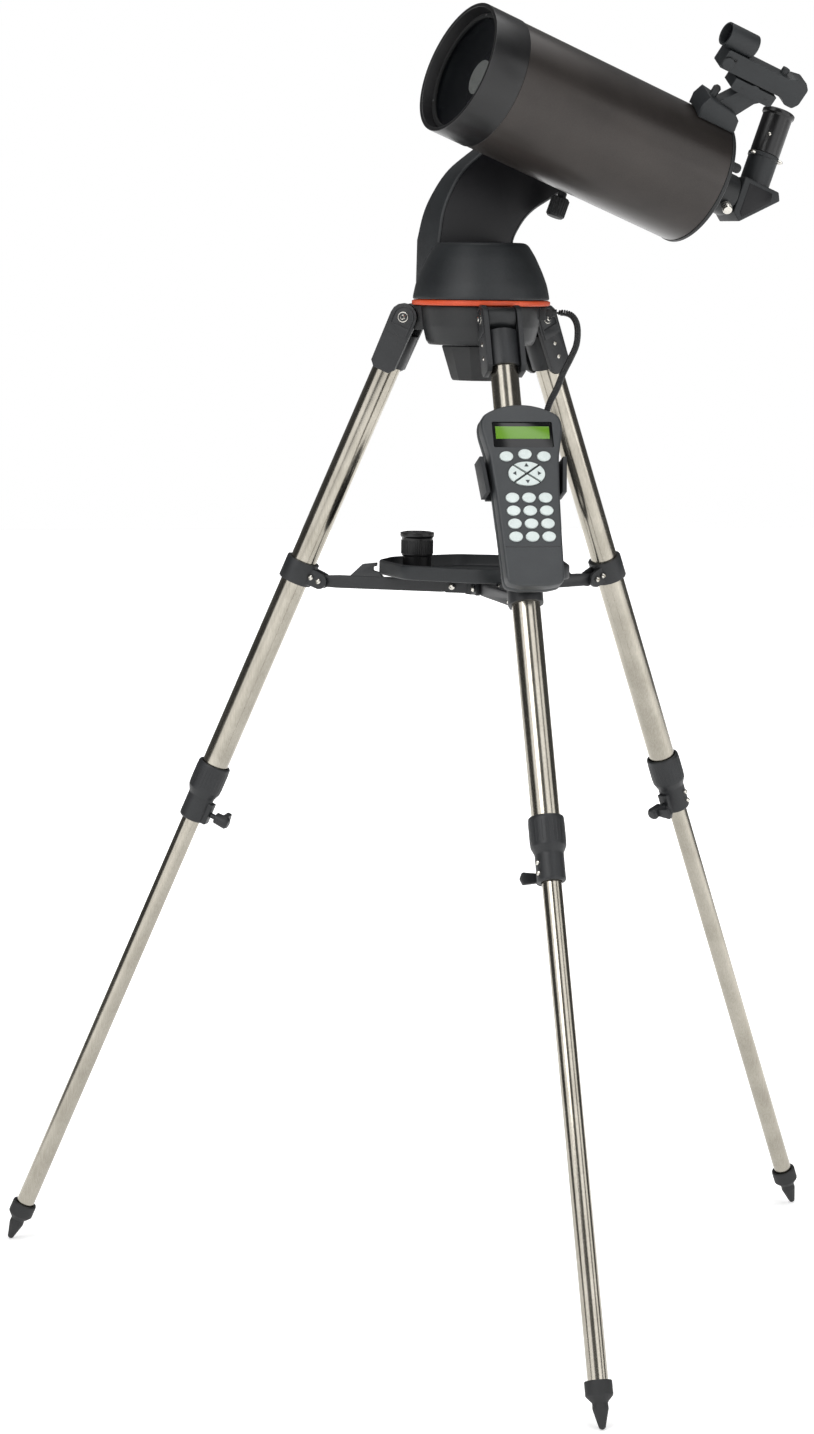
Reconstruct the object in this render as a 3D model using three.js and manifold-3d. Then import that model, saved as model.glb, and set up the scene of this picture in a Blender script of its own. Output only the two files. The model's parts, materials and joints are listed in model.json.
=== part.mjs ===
// A 127 mm catadioptric telescope on a single-arm motorised altazimuth mount, a folding tripod with an
// accessory tray, and a hand controller on a coiled cord.  Millimetres, +Z up, front leg towards -Y.
import * as THREE from "three";
import { mergeVertices } from "three/addons/utils/BufferGeometryUtils.js";
import Module from "manifold-3d";

const wasm = await Module();
wasm.setup();

// ---------------------------------------------------------------- driving dimensions
const GAP = 0.35; // clearance between neighbouring pieces

const TRIPOD = { hingeRadius: 83.2, hingeHeight: 1092.5, footRadius: 561, axisY: 138.25 };
const LEG = { names: ["front", "right", "left"], tubeR: 15.15, wall: 1.3, lowerR: 10.5, tipR: 4 };
const ALONG = { tubeTop: 20, socketEnd: 57, cheekEnd: 64, spreader: 313, clamp: 560, tubeEnd: 600, clampEnd: 630,
  lowerTop: 540, footCap: 1144 }; // distances down a leg from its hinge
const SPREADER = { height: 794.5, outerR: 183, innerR: 26, barW: 9, barH: 14 };
const TRAY = { bottom: 807, top: 823, reach: 108, corner: 26, eyepieceR: 70 };

const HEAD = { bottom: 1063, top: 1106.2, knobBottom: 1024 };
const RING = { radius: 76.7, bottom: 1106.5, top: 1112.5 };
const MOUNT_TURN = 13.46; // the mount's turn on its azimuth axis, degrees
const DOME = { bottom: 1113, top: 1175.6, wall: 3.5 };
const ARM = { inner: 25, back: 80, topBack: 60, wall: 3.5, cover: 4, hubR: 46 };
const ALT = { x: 126, z: 1283.5, angle: 20.9 }; // altitude axis in the mount's frame, and the tube's tilt

const TUBE = { radius: 72.5, front: -217, rear: 103, side: -85, cellLength: 44 }; // side: tube axis from the azimuth axis
const SADDLE_KNOB_X = -5; // in front of the altitude axis
const SCREW_TURN = -54; // the thumb screw's bearing round the visual back
const FINDER = { turn: 30, beamLow: 128.4, ringR: 13.5 }; // turn: degrees round the tube, to the observer's side
const DIAGONAL = { x: 174, half: 21, top: 23.5 };
const HANDSET = { drop: 17, back: -24, split: -33, face: -50 }; // its place down and out from the front leg
const PORT = { turn: -14, z: 1099, plugEnd: 84 };
const CORD = { radius: 3.9, steps: 18, route: [[81.9, -20.4, 1099], [89, -22.5, 1099.5], [96, -28, 1097],
  [99, -38, 1089.5], [97, -52, 1078.5], [91, -68, 1064.5], [80, -84, 1050], [68, -100, 1035.5], [56, -118, 1018.5],
  [45, -131, 1004], [36, -140.4, 982.7], [30, -149.8, 959.9], [27, -157.8, 942.9], [26, -165.8, 924.4],
  [26, -173.8, 905.9], [26, -181.8, 887.9], [26, -187.3, 875.4], [26, -192.3, 863.9], [25, -196.8, 857.4],
  [24, -203.1, 854.1], [24, -208.1, 855.1], [24, -212.1, 856.9]] };

const rad = THREE.MathUtils.degToRad;
const SPLAY = Math.atan2(TRIPOD.footRadius - TRIPOD.hingeRadius, TRIPOD.hingeHeight - LEG.tipR);
const TIP = (TRIPOD.hingeHeight - LEG.tipR) / Math.cos(SPLAY); // hinge to the centre of the foot's tip

// ---------------------------------------------------------------- materials
const paint = (color, roughness, metalness) => new THREE.MeshStandardMaterial({ color, roughness, metalness });
const MATERIAL = {
  black: paint(0x2b2e30, 0.6, 0),
  orange: paint(0xd4582f, 0.5, 0),
  steel: paint(0xa8a498, 0.25, 1),
  tube: paint(0x4a4644, 0.35, 0.6),
  satin: paint(0x1d1e20, 0.45, 0.3),
  glass: paint(0x8fa0a8, 0.05, 0),
  mirror: paint(0xd8dadb, 0.05, 1),
  brass: paint(0xb08d4a, 0.35, 1),
  rubber: paint(0x17181a, 0.85, 0),
  charcoal: paint(0x3a3c3d, 0.55, 0),
  key: paint(0xdfe6e4, 0.6, 0),
  display: paint(0x6a9a22, 0.3, 0),
};

// ---------------------------------------------------------------- solids
function plain(geometry) {
  const g = (geometry.index ? geometry.toNonIndexed() : geometry.clone());
  g.deleteAttribute("normal");
  g.deleteAttribute("uv");
  const merged = mergeVertices(g, 1e-3);
  const p = merged.attributes.position;
  const index = Array.from(merged.index.array);
  const corner = (i) => new THREE.Vector3().fromBufferAttribute(p, index[i]);
  let volume = 0;
  for (let i = 0; i < index.length; i += 3) volume += corner(i).dot(corner(i + 1).cross(corner(i + 2)));
  merged.setIndex(volume < 0 ? index.reverse() : index);
  return merged;
}

function solidOf(geometry) {
  const g = plain(geometry);
  return new wasm.Manifold(new wasm.Mesh({
    numProp: 3,
    vertProperties: new Float32Array(g.attributes.position.array),
    triVerts: new Uint32Array(g.index.array),
  }));
}

function geometryOf(solid) {
  const m = solid.getMesh();
  const points = new Float32Array(m.numVert * 3);
  for (let i = 0; i < m.numVert; i++) {
    points.set(m.vertProperties.subarray(i * m.numProp, i * m.numProp + 3), i * 3);
  }
  return new THREE.BufferGeometry()
    .setAttribute("position", new THREE.BufferAttribute(points, 3))
    .setIndex(new THREE.BufferAttribute(m.triVerts, 1));
}

const join = (...pieces) => geometryOf(pieces.map(solidOf).reduce((a, b) => a.add(b)));
const cut = (piece, ...tools) => geometryOf(tools.map(solidOf).reduce((a, b) => a.subtract(b), solidOf(piece)));

// A copy of a geometry turned by degrees about X, Y then Z, and moved.
function put(geometry, at = [0, 0, 0], turn = [0, 0, 0]) {
  const matrix = new THREE.Matrix4().makeRotationFromEuler(new THREE.Euler(...turn.map(rad), "ZYX"));
  return plain(geometry).applyMatrix4(matrix.setPosition(...at));
}

// A box between two corners.
function block(low, high) {
  const size = high.map((v, i) => v - low[i]);
  return put(new THREE.BoxGeometry(...size), low.map((v, i) => v + size[i] / 2));
}

// Turned pieces stand along Z; profile points are [radius, z].
function turned(profile, sides = 16) {
  return put(new THREE.LatheGeometry(profile.map(([r, z]) => new THREE.Vector2(r, z)), sides), [0, 0, 0], [90, 0, 0]);
}
const rod = (r, low, high, sides = 16) => turned([[0, low], [r, low], [r, high], [0, high]], sides);
const pipe = (inner, outer, low, high, sides = 16) =>
  turned([[inner, low], [outer, low], [outer, high], [inner, high], [inner, low]], sides);

// A flat plate of an [x, y] outline standing from z = low to z = high, its edges softened by bevel.
function plate(outline, low, high, bevel = 0) {
  const shape = new THREE.Shape(outline.map(([x, y]) => new THREE.Vector2(x, y)));
  const g = new THREE.ExtrudeGeometry(shape, { depth: high - low - 2 * bevel, bevelEnabled: bevel > 0,
    bevelThickness: bevel, bevelSize: bevel, bevelOffset: -bevel, bevelSegments: 1 });
  return put(g, [0, 0, low + bevel]);
}
const alongX = (g, at = [0, 0, 0]) => put(g, at, [0, 90, 0]); // Z turned to +X
const alongY = (g, at = [0, 0, 0]) => put(g, at, [-90, 0, 0]); // Z turned to +Y
// An upright plate: an [x, z] outline standing from y = low to y = high.
const wallPlate = (outline, low, high, bevel) => put(plate(outline, -high, -low, bevel), [0, 0, 0], [90, 0, 0]);

const arc = (cx, cy, r, from, to, steps) => Array.from({ length: steps + 1 }, (_, i) => {
  const a = rad(from + ((to - from) * i) / steps);
  return [cx + r * Math.cos(a), cy + r * Math.sin(a)];
});
const through = (points, steps) => new THREE.SplineCurve(points.map(([x, y]) => new THREE.Vector2(x, y)))
  .getPoints(steps).map((p) => [p.x, p.y]);
const oval = (cx, cy, rx, ry, sides = 10) =>
  arc(0, 0, 1, 0, 360 - 360 / sides, sides - 1).map(([x, y]) => [cx + rx * x, cy + ry * y]);

// An outline moved inwards by a distance; points run anticlockwise.
function inset(points, distance) {
  return points.map((p, i) => {
    const a = points[(i + points.length - 1) % points.length];
    const b = points[(i + 1) % points.length];
    const length = Math.hypot(b[0] - a[0], b[1] - a[1]);
    return [p[0] - (distance * (b[1] - a[1])) / length, p[1] + (distance * (b[0] - a[0])) / length];
  });
}

// A toothed or fluted outline of alternating radii.
const toothed = (teeth, root, tip) => arc(0, 0, 1, 0, 360 - 180 / teeth, 2 * teeth - 1)
  .map(([x, y], i) => (i % 2 ? [x * tip, y * tip] : [x * root, y * root]));

function piece(name, geometry, material) {
  const mesh = new THREE.Mesh(plain(geometry), material);
  mesh.name = name;
  return mesh;
}

// ---------------------------------------------------------------- groups
const telescope = new THREE.Group();
const tripod = new THREE.Group();
tripod.position.y = TRIPOD.axisY;
telescope.add(tripod);
const mount = new THREE.Group();
mount.rotation.z = rad(MOUNT_TURN);
tripod.add(mount);
const tube = new THREE.Group(); // +X towards the eyepiece, -Y towards the observer's side
tube.position.set(ALT.x, 0, ALT.z);
tube.rotation.y = rad(ALT.angle);
mount.add(tube);

// ---------------------------------------------------------------- legs
// In a leg's frame the hinge is the origin, -Z runs down the leg and -Y points outwards.
function hingeBracket() {
  const outline = [...arc(0, 0, 15.5, 0, 180, 8), [-14.5, -ALONG.cheekEnd + 6], [-9, -ALONG.cheekEnd],
    [9, -ALONG.cheekEnd], [14.5, -ALONG.cheekEnd + 6]];
  const cheek = put(plate(outline, 16, 21.5), [0, 0, 0], [90, 0, 90]);
  const socket = rod(LEG.tubeR + 3.2, -ALONG.socketEnd, -17);
  const pin = alongX(turned([[0, -24], [5, -24], [5, -21], [3.2, -21], [3.2, 21], [5, 21], [5, 24], [0, 24]], 10));
  const body = join(cheek, put(cheek, [-37.5, 0, 0]), socket);
  return join(cut(body, rod(LEG.tubeR + GAP, -70, -ALONG.tubeTop + GAP)), pin);
}
const upperTube = () => pipe(LEG.tubeR - LEG.wall, LEG.tubeR, -ALONG.tubeEnd, -ALONG.tubeTop);
const lowerTube = () => pipe(LEG.lowerR - 1.2, LEG.lowerR, -ALONG.footCap - 10, -ALONG.lowerTop, 16);
function clampCollar() {
  const wide = 19;
  const step = ALONG.tubeEnd + GAP;
  const sleeve = turned([[LEG.tubeR + GAP, -ALONG.clamp], [wide - 1, -ALONG.clamp], [wide, -ALONG.clamp - 2],
    [wide, -592], [15, -600], [15, -ALONG.clampEnd], [LEG.lowerR + GAP, -ALONG.clampEnd],
    [LEG.lowerR + GAP, -step], [LEG.tubeR + GAP, -step], [LEG.tubeR + GAP, -ALONG.clamp]]);
  const boss = block([-7, 11.5, -ALONG.clampEnd], [7, 19, -604]);
  return cut(join(sleeve, boss), alongY(rod(3.4, 8, 24, 12), [0, 0, -617]));
}
function clampKnob() {
  const stem = turned([[0, 12], [3, 12], [3, 26], [6.5, 26], [7.5, 40], [5, 43], [0, 43]], 16);
  const wing = plate([[4, -4], [4, 4], [-22, 7], [-25, 0], [-22, -7]], 31, 37, 1);
  return put(join(stem, wing), [0, 0, -617], [-90, 0, 0]);
}
function foot() {
  const cap = ALONG.footCap;
  const tip = arc(0, -TIP, LEG.tipR, 0, -90, 3);
  return turned([[0, -cap - 10 - GAP], [LEG.lowerR + GAP, -cap - 10 - GAP], [LEG.lowerR + GAP, -cap], [14.5, -cap],
    [14.5, -cap - 15], [8, -cap - 22], [8.5, -cap - 28], ...tip], 14);
}
function spreaderCollar() {
  const clip = pipe(LEG.tubeR + GAP, LEG.tubeR + 4, -13, 13);
  const lug = join(block([-9, 15, -9], [9, 27, 9]), put(alongX(rod(9, -9, 9, 14)), [0, 28.4, 0]));
  const slot = block([-5 - GAP, 17.5, -20], [5 + GAP, 60, 20]);
  const ear = cut(lug, slot, rod(LEG.tubeR + 2, -20, 20));
  const pin = alongX(rod(2.5, -11, 11, 8), [0, 28.4, 0]);
  return put(join(clip, ear, pin), [0, 0, -ALONG.spreader]);
}
// A strut in the leg plane: +Y runs in from the collar's pivot at the origin to the hub's pivot.
function strut() {
  const length = SPREADER.outerR - SPREADER.innerR;
  const { barW, barH } = SPREADER;
  const half = barH / 2;
  const bar = put(plate([...arc(0, 0, 6, 90, 270, 8), [20, -half], [length - 14, -half],
    ...arc(length, 0, 5.5, -90, 90, 8), [length - 14, half], [20, half]], -barW / 2, barW / 2), [0, 0, 0], [90, 0, 90]);
  const wing = put(plate([[34, 6], [50, 21], [66, 23], [66, 19], [62, 18], [62, 14], [70, 12], [74, 6]], -3, 3),
    [0, 0, 0], [90, 0, 90]);
  return cut(join(bar, wing), alongX(rod(2.9, -9, 9, 8)), alongX(rod(2.9, -9, 9, 8), [0, length, 0]));
}

LEG.names.forEach((name, k) => {
  const bearing = new THREE.Group();
  bearing.rotation.z = rad(120 * k);
  tripod.add(bearing);
  const leg = new THREE.Group();
  leg.position.set(0, -TRIPOD.hingeRadius, TRIPOD.hingeHeight);
  leg.rotation.x = -SPLAY;
  bearing.add(leg);
  leg.add(
    piece(`${name}_hinge_bracket`, hingeBracket(), MATERIAL.black),
    piece(`${name}_upper_tube`, upperTube(), MATERIAL.steel),
    piece(`${name}_clamp_collar`, clampCollar(), MATERIAL.black),
    piece(`${name}_clamp_knob`, clampKnob(), MATERIAL.black),
    piece(`${name}_lower_tube`, lowerTube(), MATERIAL.steel),
    piece(`${name}_foot`, foot(), MATERIAL.rubber),
    piece(`${name}_spreader_collar`, spreaderCollar(), MATERIAL.black),
  );
  const link = piece(`${name}_strut`, strut(), MATERIAL.black);
  link.position.set(0, -SPREADER.outerR, SPREADER.height);
  bearing.add(link);
});

// ---------------------------------------------------------------- spreader hub, tray, spare eyepiece
// Three pairs of ears stand on a short core, and each pair's slot runs in to the core, where a strut's end turns.
function spreaderHub() {
  const z = SPREADER.height;
  const slotHalf = SPREADER.barW / 2 + GAP;
  const around = (g) => [0, 120, 240].map((turn) => put(g, [0, 0, 0], [0, 0, turn]));
  const bolt = alongX(rod(4, 8.5, 10.5, 10), [0, -SPREADER.innerR, z]);
  const ear = join(block([-9, -34, z - 7], [9, -8, z + 7]), bolt, put(bolt, [-19, 0, 0]));
  const slot = block([-slotHalf, -60, z - 12], [slotHalf, -8.8, z + 12]);
  const core = join(rod(13, z - 8, z + 8), rod(6, z + 6, TRAY.bottom - GAP));
  return cut(join(core, ...around(ear)), ...around(slot));
}
function accessoryTray() {
  const { reach, corner, bottom, top } = TRAY;
  const side = [0, 1, 2].flatMap((k) => {
    const a = rad(120 * k - 90);
    const turn = ([x, y]) => [x * Math.cos(a) - y * Math.sin(a), x * Math.sin(a) + y * Math.cos(a)];
    return [[reach, -corner], [reach, corner], [82, 62], [58, 92]].map(turn);
  });
  const floor = plate(side, bottom, top, 1.5);
  const hole = put(rod(16.6, bottom - 1, top, 16), [0, -TRAY.eyepieceR, 0]);
  const holes = [0, 120, 240].map((turn) => put(hole, [0, 0, 0], [0, 0, turn]));
  const well = plate(inset(side, 3.5), bottom + 3, top + 5);
  return cut(floor, well, ...holes);
}
function spareEyepiece() {
  const z = TRAY.bottom;
  return turned([[0, z - 3], [15.9, z - 3], [15.9, z + 20], [17.5, z + 21], [17.5, z + 40], [19, z + 42],
    [19, z + 46], [15, z + 47], [12, z + 44], [0, z + 44]]);
}
const leftCorner = [-TRAY.eyepieceR * Math.sin(rad(60)), TRAY.eyepieceR * Math.cos(rad(60)), 0];
tripod.add(
  piece("spreader_hub", spreaderHub(), MATERIAL.black),
  piece("accessory_tray", accessoryTray(), MATERIAL.black),
  piece("spare_eyepiece", put(spareEyepiece(), leftCorner), MATERIAL.satin),
);

// ---------------------------------------------------------------- tripod head and mount base
function tripodHead() {
  const { bottom, top } = HEAD;
  const bowl = turned([[6, bottom], [57, bottom], [60.5, bottom + 5], [64, bottom + 20], [66, top - 4], [66, top],
    [62, top], [60, bottom + 20], [56, bottom + 8], [14, bottom + 8], [14, top - 1], [6, top - 1],
    [6, bottom]], 28);
  const lugs = [0, 1, 2].map((k) => {
    const tab = join(block([-15.5, -TRIPOD.hingeRadius, TRIPOD.hingeHeight - 13.5],
      [15.5, -61, TRIPOD.hingeHeight + 13.5]),
    alongX(rod(13.5, -15.5, 15.5, 16), [0, -TRIPOD.hingeRadius, TRIPOD.hingeHeight]));
    const hole = alongX(rod(3.6, -20, 20, 10), [0, -TRIPOD.hingeRadius, TRIPOD.hingeHeight]);
    return put(cut(tab, hole), [0, 0, 0], [0, 0, 120 * k]);
  });
  const port = put(block([61, -9, bottom + 28], [72, 9, top]), [0, 0, 0], [0, 0, PORT.turn]);
  const socket = put(block([66, -6.5, PORT.z - 4.5], [80, 6.5, PORT.z + 4.5]), [0, 0, 0], [0, 0, PORT.turn]);
  return cut(join(bowl, ...lugs, port), socket);
}
function mountingKnob() {
  const sides = 12;
  const grip = turned([[0, HEAD.knobBottom], [31, HEAD.knobBottom], [33, HEAD.knobBottom + 3],
    [44, HEAD.bottom - 1], [0, HEAD.bottom - 1]], sides);
  return join(grip, rod(5.5, HEAD.bottom - 3, HEAD.top - 2, 16));
}
const cordPlug = () => put(join(block([66.5, -6, PORT.z - 4], [79, 6, PORT.z + 4]),
  alongX(rod(4.2, 78, PORT.plugEnd, 12), [0, 0, PORT.z])), [0, 0, 0], [0, 0, PORT.turn]);
// The curly cord's outer shape, from its plug round to a socket low in the hand controller's back.
function handsetCord() {
  const curve = new THREE.CatmullRomCurve3(CORD.route.map((p) => new THREE.Vector3(...p)), false, "centripetal");
  const section = new THREE.Shape(arc(0, 0, CORD.radius, 0, 315, 7).map(([x, y]) => new THREE.Vector2(x, y)));
  return new THREE.ExtrudeGeometry(section, { steps: CORD.steps, extrudePath: curve });
}
tripod.add(
  piece("tripod_head", tripodHead(), MATERIAL.black),
  piece("mounting_knob", mountingKnob(), MATERIAL.black),
  piece("base_ring", pipe(9, RING.radius, RING.bottom, RING.top, 32), MATERIAL.orange),
  piece("azimuth_gear", cut(plate(toothed(24, 21.5, 23.5), RING.top + GAP, RING.top + 7), rod(9, 1100, 1130)),
    MATERIAL.brass),
  piece("cord_plug", cordPlug(), MATERIAL.rubber),
  piece("handset_cord", handsetCord(), MATERIAL.rubber),
);

// ---------------------------------------------------------------- rotating mount: dome, arm, drives
const armOutline = [
  ...arc(ALT.x, ALT.z, ARM.hubR, -95, 108, 11),
  ...through([[88, 1322], [45, 1299], [4.2, 1270], [-15.7, 1251.5], [-29.9, 1227.5], [-37.7, 1205.6],
    [-41.6, 1178]], 9),
  [-42.5, DOME.bottom], [53, DOME.bottom],
  ...through([[54.2, 1178], [58.2, 1187], [68.3, 1201.8], [80.8, 1213.1], [96.6, 1222.5]], 6),
];
function domeHousing() {
  const { bottom, top, wall } = DOME;
  const outer = [[76, bottom], [72.8, bottom + 16], [67.5, bottom + 30], [59.6, bottom + 47],
    [51.5, top - 2.5], [48.5, top]];
  const inner = outer.map(([r, z]) => [r - wall, Math.min(z, top - wall)]).reverse();
  const shell = turned([...outer, [0, top], [0, top - wall], ...inner, [76, bottom]], 32);
  return cut(shell, wallPlate(inset(armOutline, -GAP), ARM.inner - GAP, ARM.back + 20));
}
function armShell() {
  const full = wallPlate(armOutline, ARM.inner, ARM.back, 2);
  const taper = put(block([-100, 0, 0], [220, 60, 200]), [0, ARM.back, DOME.top], [12, 0, 0]);
  const cavity = wallPlate(inset(armOutline, ARM.wall), ARM.inner - 5, ARM.topBack - 8);
  const rebate = wallPlate(inset(armOutline, 2.4), ARM.inner - 5, ARM.inner + ARM.cover + GAP);
  return cut(full, taper, cavity, rebate);
}
function armCover() {
  const panel = wallPlate(inset(armOutline, 2.4 + GAP), ARM.inner, ARM.inner + ARM.cover);
  return cut(panel, alongY(rod(12, 0, 60), [ALT.x, 0, ALT.z]));
}
const altitudeGear = () => cut(plate(toothed(24, 30, 33), 40, 46), rod(9 + GAP, 30, 60, 20));
const spurMotor = () => join(rod(12, 0, 34), rod(6, -5, 1, 10), rod(4.6, -11, -4, 10));
const wormMotor = () => join(rod(8.5, 0, 30), rod(4, 29, 35, 10), rod(2.9, 34, 54, 10));
function altitudeSaddle() {
  const jaw = wallPlate([[-38, -34], [38, -34], [38, 34], [-38, 34]], -4, 12, 2);
  const channel = wallPlate([[-60, -22.5], [60, -22.5], [60, 22.5], [-60, 22.5]], -20, 3);
  const puck = alongY(rod(30, 11, ARM.inner - GAP, 28));
  const shaft = alongY(rod(9, 20, 52, 20));
  return cut(join(jaw, puck, shaft), channel, put(rod(4.4, -60, -22, 12), [SADDLE_KNOB_X, 0, 0]));
}
function saddleKnob() {
  const grip = plate(toothed(12, 9.6, 10.8), -86, -63);
  return put(join(grip, rod(5, -64, -57, 16), rod(3.8, -58, -24, 12)), [SADDLE_KNOB_X, 0, 0]);
}
mount.add(
  piece("dome_housing", domeHousing(), MATERIAL.black),
  piece("arm_shell", armShell(), MATERIAL.black),
  piece("arm_cover", armCover(), MATERIAL.black),
  piece("azimuth_motor", put(spurMotor(), [-20.5, -20.5, 1124.5]), MATERIAL.steel),
  piece("altitude_motor", put(wormMotor(), [65.8, 43, 1283.8], [0, 53.1, 0]), MATERIAL.steel),
);
tube.add(
  piece("altitude_gear", alongY(altitudeGear()), MATERIAL.brass),
  piece("altitude_saddle", altitudeSaddle(), MATERIAL.black),
  piece("saddle_knob", saddleKnob(), MATERIAL.black),
);

// ---------------------------------------------------------------- optical tube
const optics = new THREE.Group(); // +X down the optical axis to the eyepiece
optics.position.y = TUBE.side;
tube.add(optics);

const CELL_END = TUBE.front + TUBE.cellLength;
const REAR_PLATE = TUBE.rear - 8;
function frontCell() {
  const { front, radius } = TUBE;
  return turned([[radius + 1, front], [radius + 1, CELL_END], [radius - 1.5 - GAP, CELL_END],
    [radius - 1.5 - GAP, CELL_END + 8], [65, CELL_END + 8], [65, front + 14], [67.3, front + 13],
    [68.5, front], [radius + 1, front]], 40);
}
function correctorLens() {
  const z = TUBE.front + 15;
  const face = (depth, at) => [64.4, 45, 24].map((r) => [r, at + depth * (1 - (r / 64.4) ** 2)]);
  const back = face(6, z + 7).reverse();
  return turned([[0, z + 6], ...face(6, z).reverse(), ...back.reverse(), [0, z + 13]], 32);
}
function primaryMirror() {
  const z = 58;
  return turned([[18.5, z + 2], [40, z + 0.8], [64, z - 1.6], [64, z + 10], [44, z + 15], [18.5, z + 15],
    [18.5, z + 2]], 28);
}
function rearCell() {
  const r = TUBE.radius + 0.8;
  return turned([[15, -58], [16.6, -58], [16.6, REAR_PLATE], [TUBE.radius - 1.5 - GAP, REAR_PLATE],
    [TUBE.radius - 1.5 - GAP, TUBE.rear - 5], [r, TUBE.rear - 5], [r, TUBE.rear - 1], [r - 3, TUBE.rear + 1],
    [15, TUBE.rear + 1], [15, -58]], 36);
}
function visualBack() {
  const x = TUBE.rear + 1 + GAP;
  const ring = turned([[16.2, x], [22.5, x], [24, x + 4], [24, x + 42], [22.5, x + 44], [16.2, x + 44], [16.2, x]], 20);
  return cut(ring, put(rod(3.2, 10, 40, 12), [0, 0, x + 32], [0, 90, SCREW_TURN]));
}
function diagonalScrew() {
  const x = TUBE.rear + 1 + GAP + 32;
  const screw = turned([[0, 17], [2.8, 17], [2.8, 26], [5, 26], [5.6, 27], [5.6, 37], [5, 38], [0, 38]], 14);
  return put(screw, [0, 0, x], [0, 90, SCREW_TURN]);
}
function starDiagonal() {
  const { x, half, top } = DIAGONAL;
  const nose = TUBE.rear + 12;
  const face = TUBE.rear + 1 + GAP + 44 + GAP;
  const box = wallPlate([[face, -18], [150, -19], [160, -26], [201, 15], [196, top], [face, top]], -half, half, 1.5);
  const barrel = alongX(rod(15.8, nose, face + 4, 24));
  const holder = put(turned([[0, 15], [17, 15], [17, 54], [18, 54.5], [18, 59], [0, 59]], 24), [x, 0, 0]);
  return cut(join(box, barrel, holder), alongX(rod(13, nose - 2, 160, 16)), put(rod(13, 0, 40, 20), [x, 0, 0]),
    put(rod(15.9, 30, 70, 24), [x, 0, 0]));
}
function eyepiece() {
  const barrel = turned([[0, 31], [15.5, 31], [15.5, 59.4], [16.8, 59.4], [16.8, 104], [18.6, 106], [18.6, 110],
    [16.5, 111.5], [12, 108], [0, 108]], 18);
  return put(barrel, [DIAGONAL.x, 0, 0]);
}
function dovetailBar() {
  const bar = put(wallPlate([[-75, -22], [75, -22], [75, 22], [-75, 22]], -16, 2.6, 1), [0, -TUBE.side, 0]);
  return cut(bar, alongX(rod(TUBE.radius + GAP, -100, 100, 40)));
}
// The finder stands on the tube's top; its own group turns it round the tube.
function finderBracket() {
  const seat = wallPlate([[52, 62], [97, 62], [100, 74], [97, 86], [88, 92], [52, 96], [48, 84]], -18, 18, 1.5);
  const stem = wallPlate([[66, 90], [94, 86], [106, 108], [116, 116], [84, 116]], -8, 8);
  const clamp = wallPlate([[68, 115], [72, 113], [120, 113], [123, 116], [123, 126.6], [100, 126.6],
    [97, 128], [93, 128], [90, 126.6], [68, 126.6]], -12, 12);
  const screw = put(rod(4.5, 90, 104), [62, 2, 0]);
  return cut(join(seat, stem, clamp, screw), alongX(rod(TUBE.radius + 1.2, 40, 130, 40)));
}
function finderBody() {
  const { beamLow, ringR } = FINDER;
  const beam = wallPlate([[43, beamLow], [124, beamLow], [130, beamLow], [136, 123], [147, 123], [152, 130],
    [152, 149], [145, 156], [131, 154], [127, 151], [43, 151]], -11, 11, 1.5);
  const ring = alongX(pipe(ringR - 2, ringR, 33, 71, 20), [0, 0, 162.5]);
  const knob = put(rod(4.5, 0, 9, 12), [120, 0, 149]);
  const dial = alongY(rod(7, -14, -9, 12), [49, 0, 137]);
  return join(beam, ring, knob, dial);
}
const focusKnob = () => turned([[0, TUBE.rear - 4], [3, TUBE.rear - 4], [3, TUBE.rear + 4], [5.2, TUBE.rear + 4],
  [5.4, TUBE.rear + 6], [5.4, TUBE.rear + 21], [4.6, TUBE.rear + 22], [0, TUBE.rear + 22]], 14);
const FOCUS = [0, -45, 21]; // the focus shaft behind the rear cell
const finder = new THREE.Group(); // turned round the tube, clear of the eyepiece
finder.rotation.x = rad(FINDER.turn);
optics.add(finder);
optics.add(
  piece("optical_tube", alongX(pipe(TUBE.radius - 1.5, TUBE.radius, CELL_END + GAP, TUBE.rear - 5 - GAP, 40)),
    MATERIAL.tube),
  piece("front_cell", alongX(frontCell()), MATERIAL.satin),
  piece("corrector_lens", alongX(correctorLens()), MATERIAL.glass),
  piece("primary_mirror", alongX(primaryMirror()), MATERIAL.mirror),
  piece("rear_cell", cut(alongX(rearCell()), alongX(rod(3.4, 80, 120, 16), FOCUS)), MATERIAL.satin),
  piece("dovetail_bar", dovetailBar(), MATERIAL.black),
  piece("visual_back", alongX(visualBack()), MATERIAL.black),
  piece("diagonal_screw", alongX(diagonalScrew()), MATERIAL.steel),
  piece("star_diagonal", starDiagonal(), MATERIAL.black),
  piece("eyepiece", eyepiece(), MATERIAL.satin),
  piece("focus_knob", alongX(focusKnob(), FOCUS), MATERIAL.rubber),
);
finder.add(
  piece("finder_bracket", finderBracket(), MATERIAL.black),
  piece("finder_body", finderBody(), MATERIAL.black),
);

// ---------------------------------------------------------------- hand controller on the front leg
const controller = new THREE.Group(); // the front leg's frame: -Z down the leg, -Y out of the keys
controller.position.set(0, -TRIPOD.hingeRadius, TRIPOD.hingeHeight);
controller.rotation.x = -SPLAY;
controller.translateZ(-HANDSET.drop);
tripod.add(controller);

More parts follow.
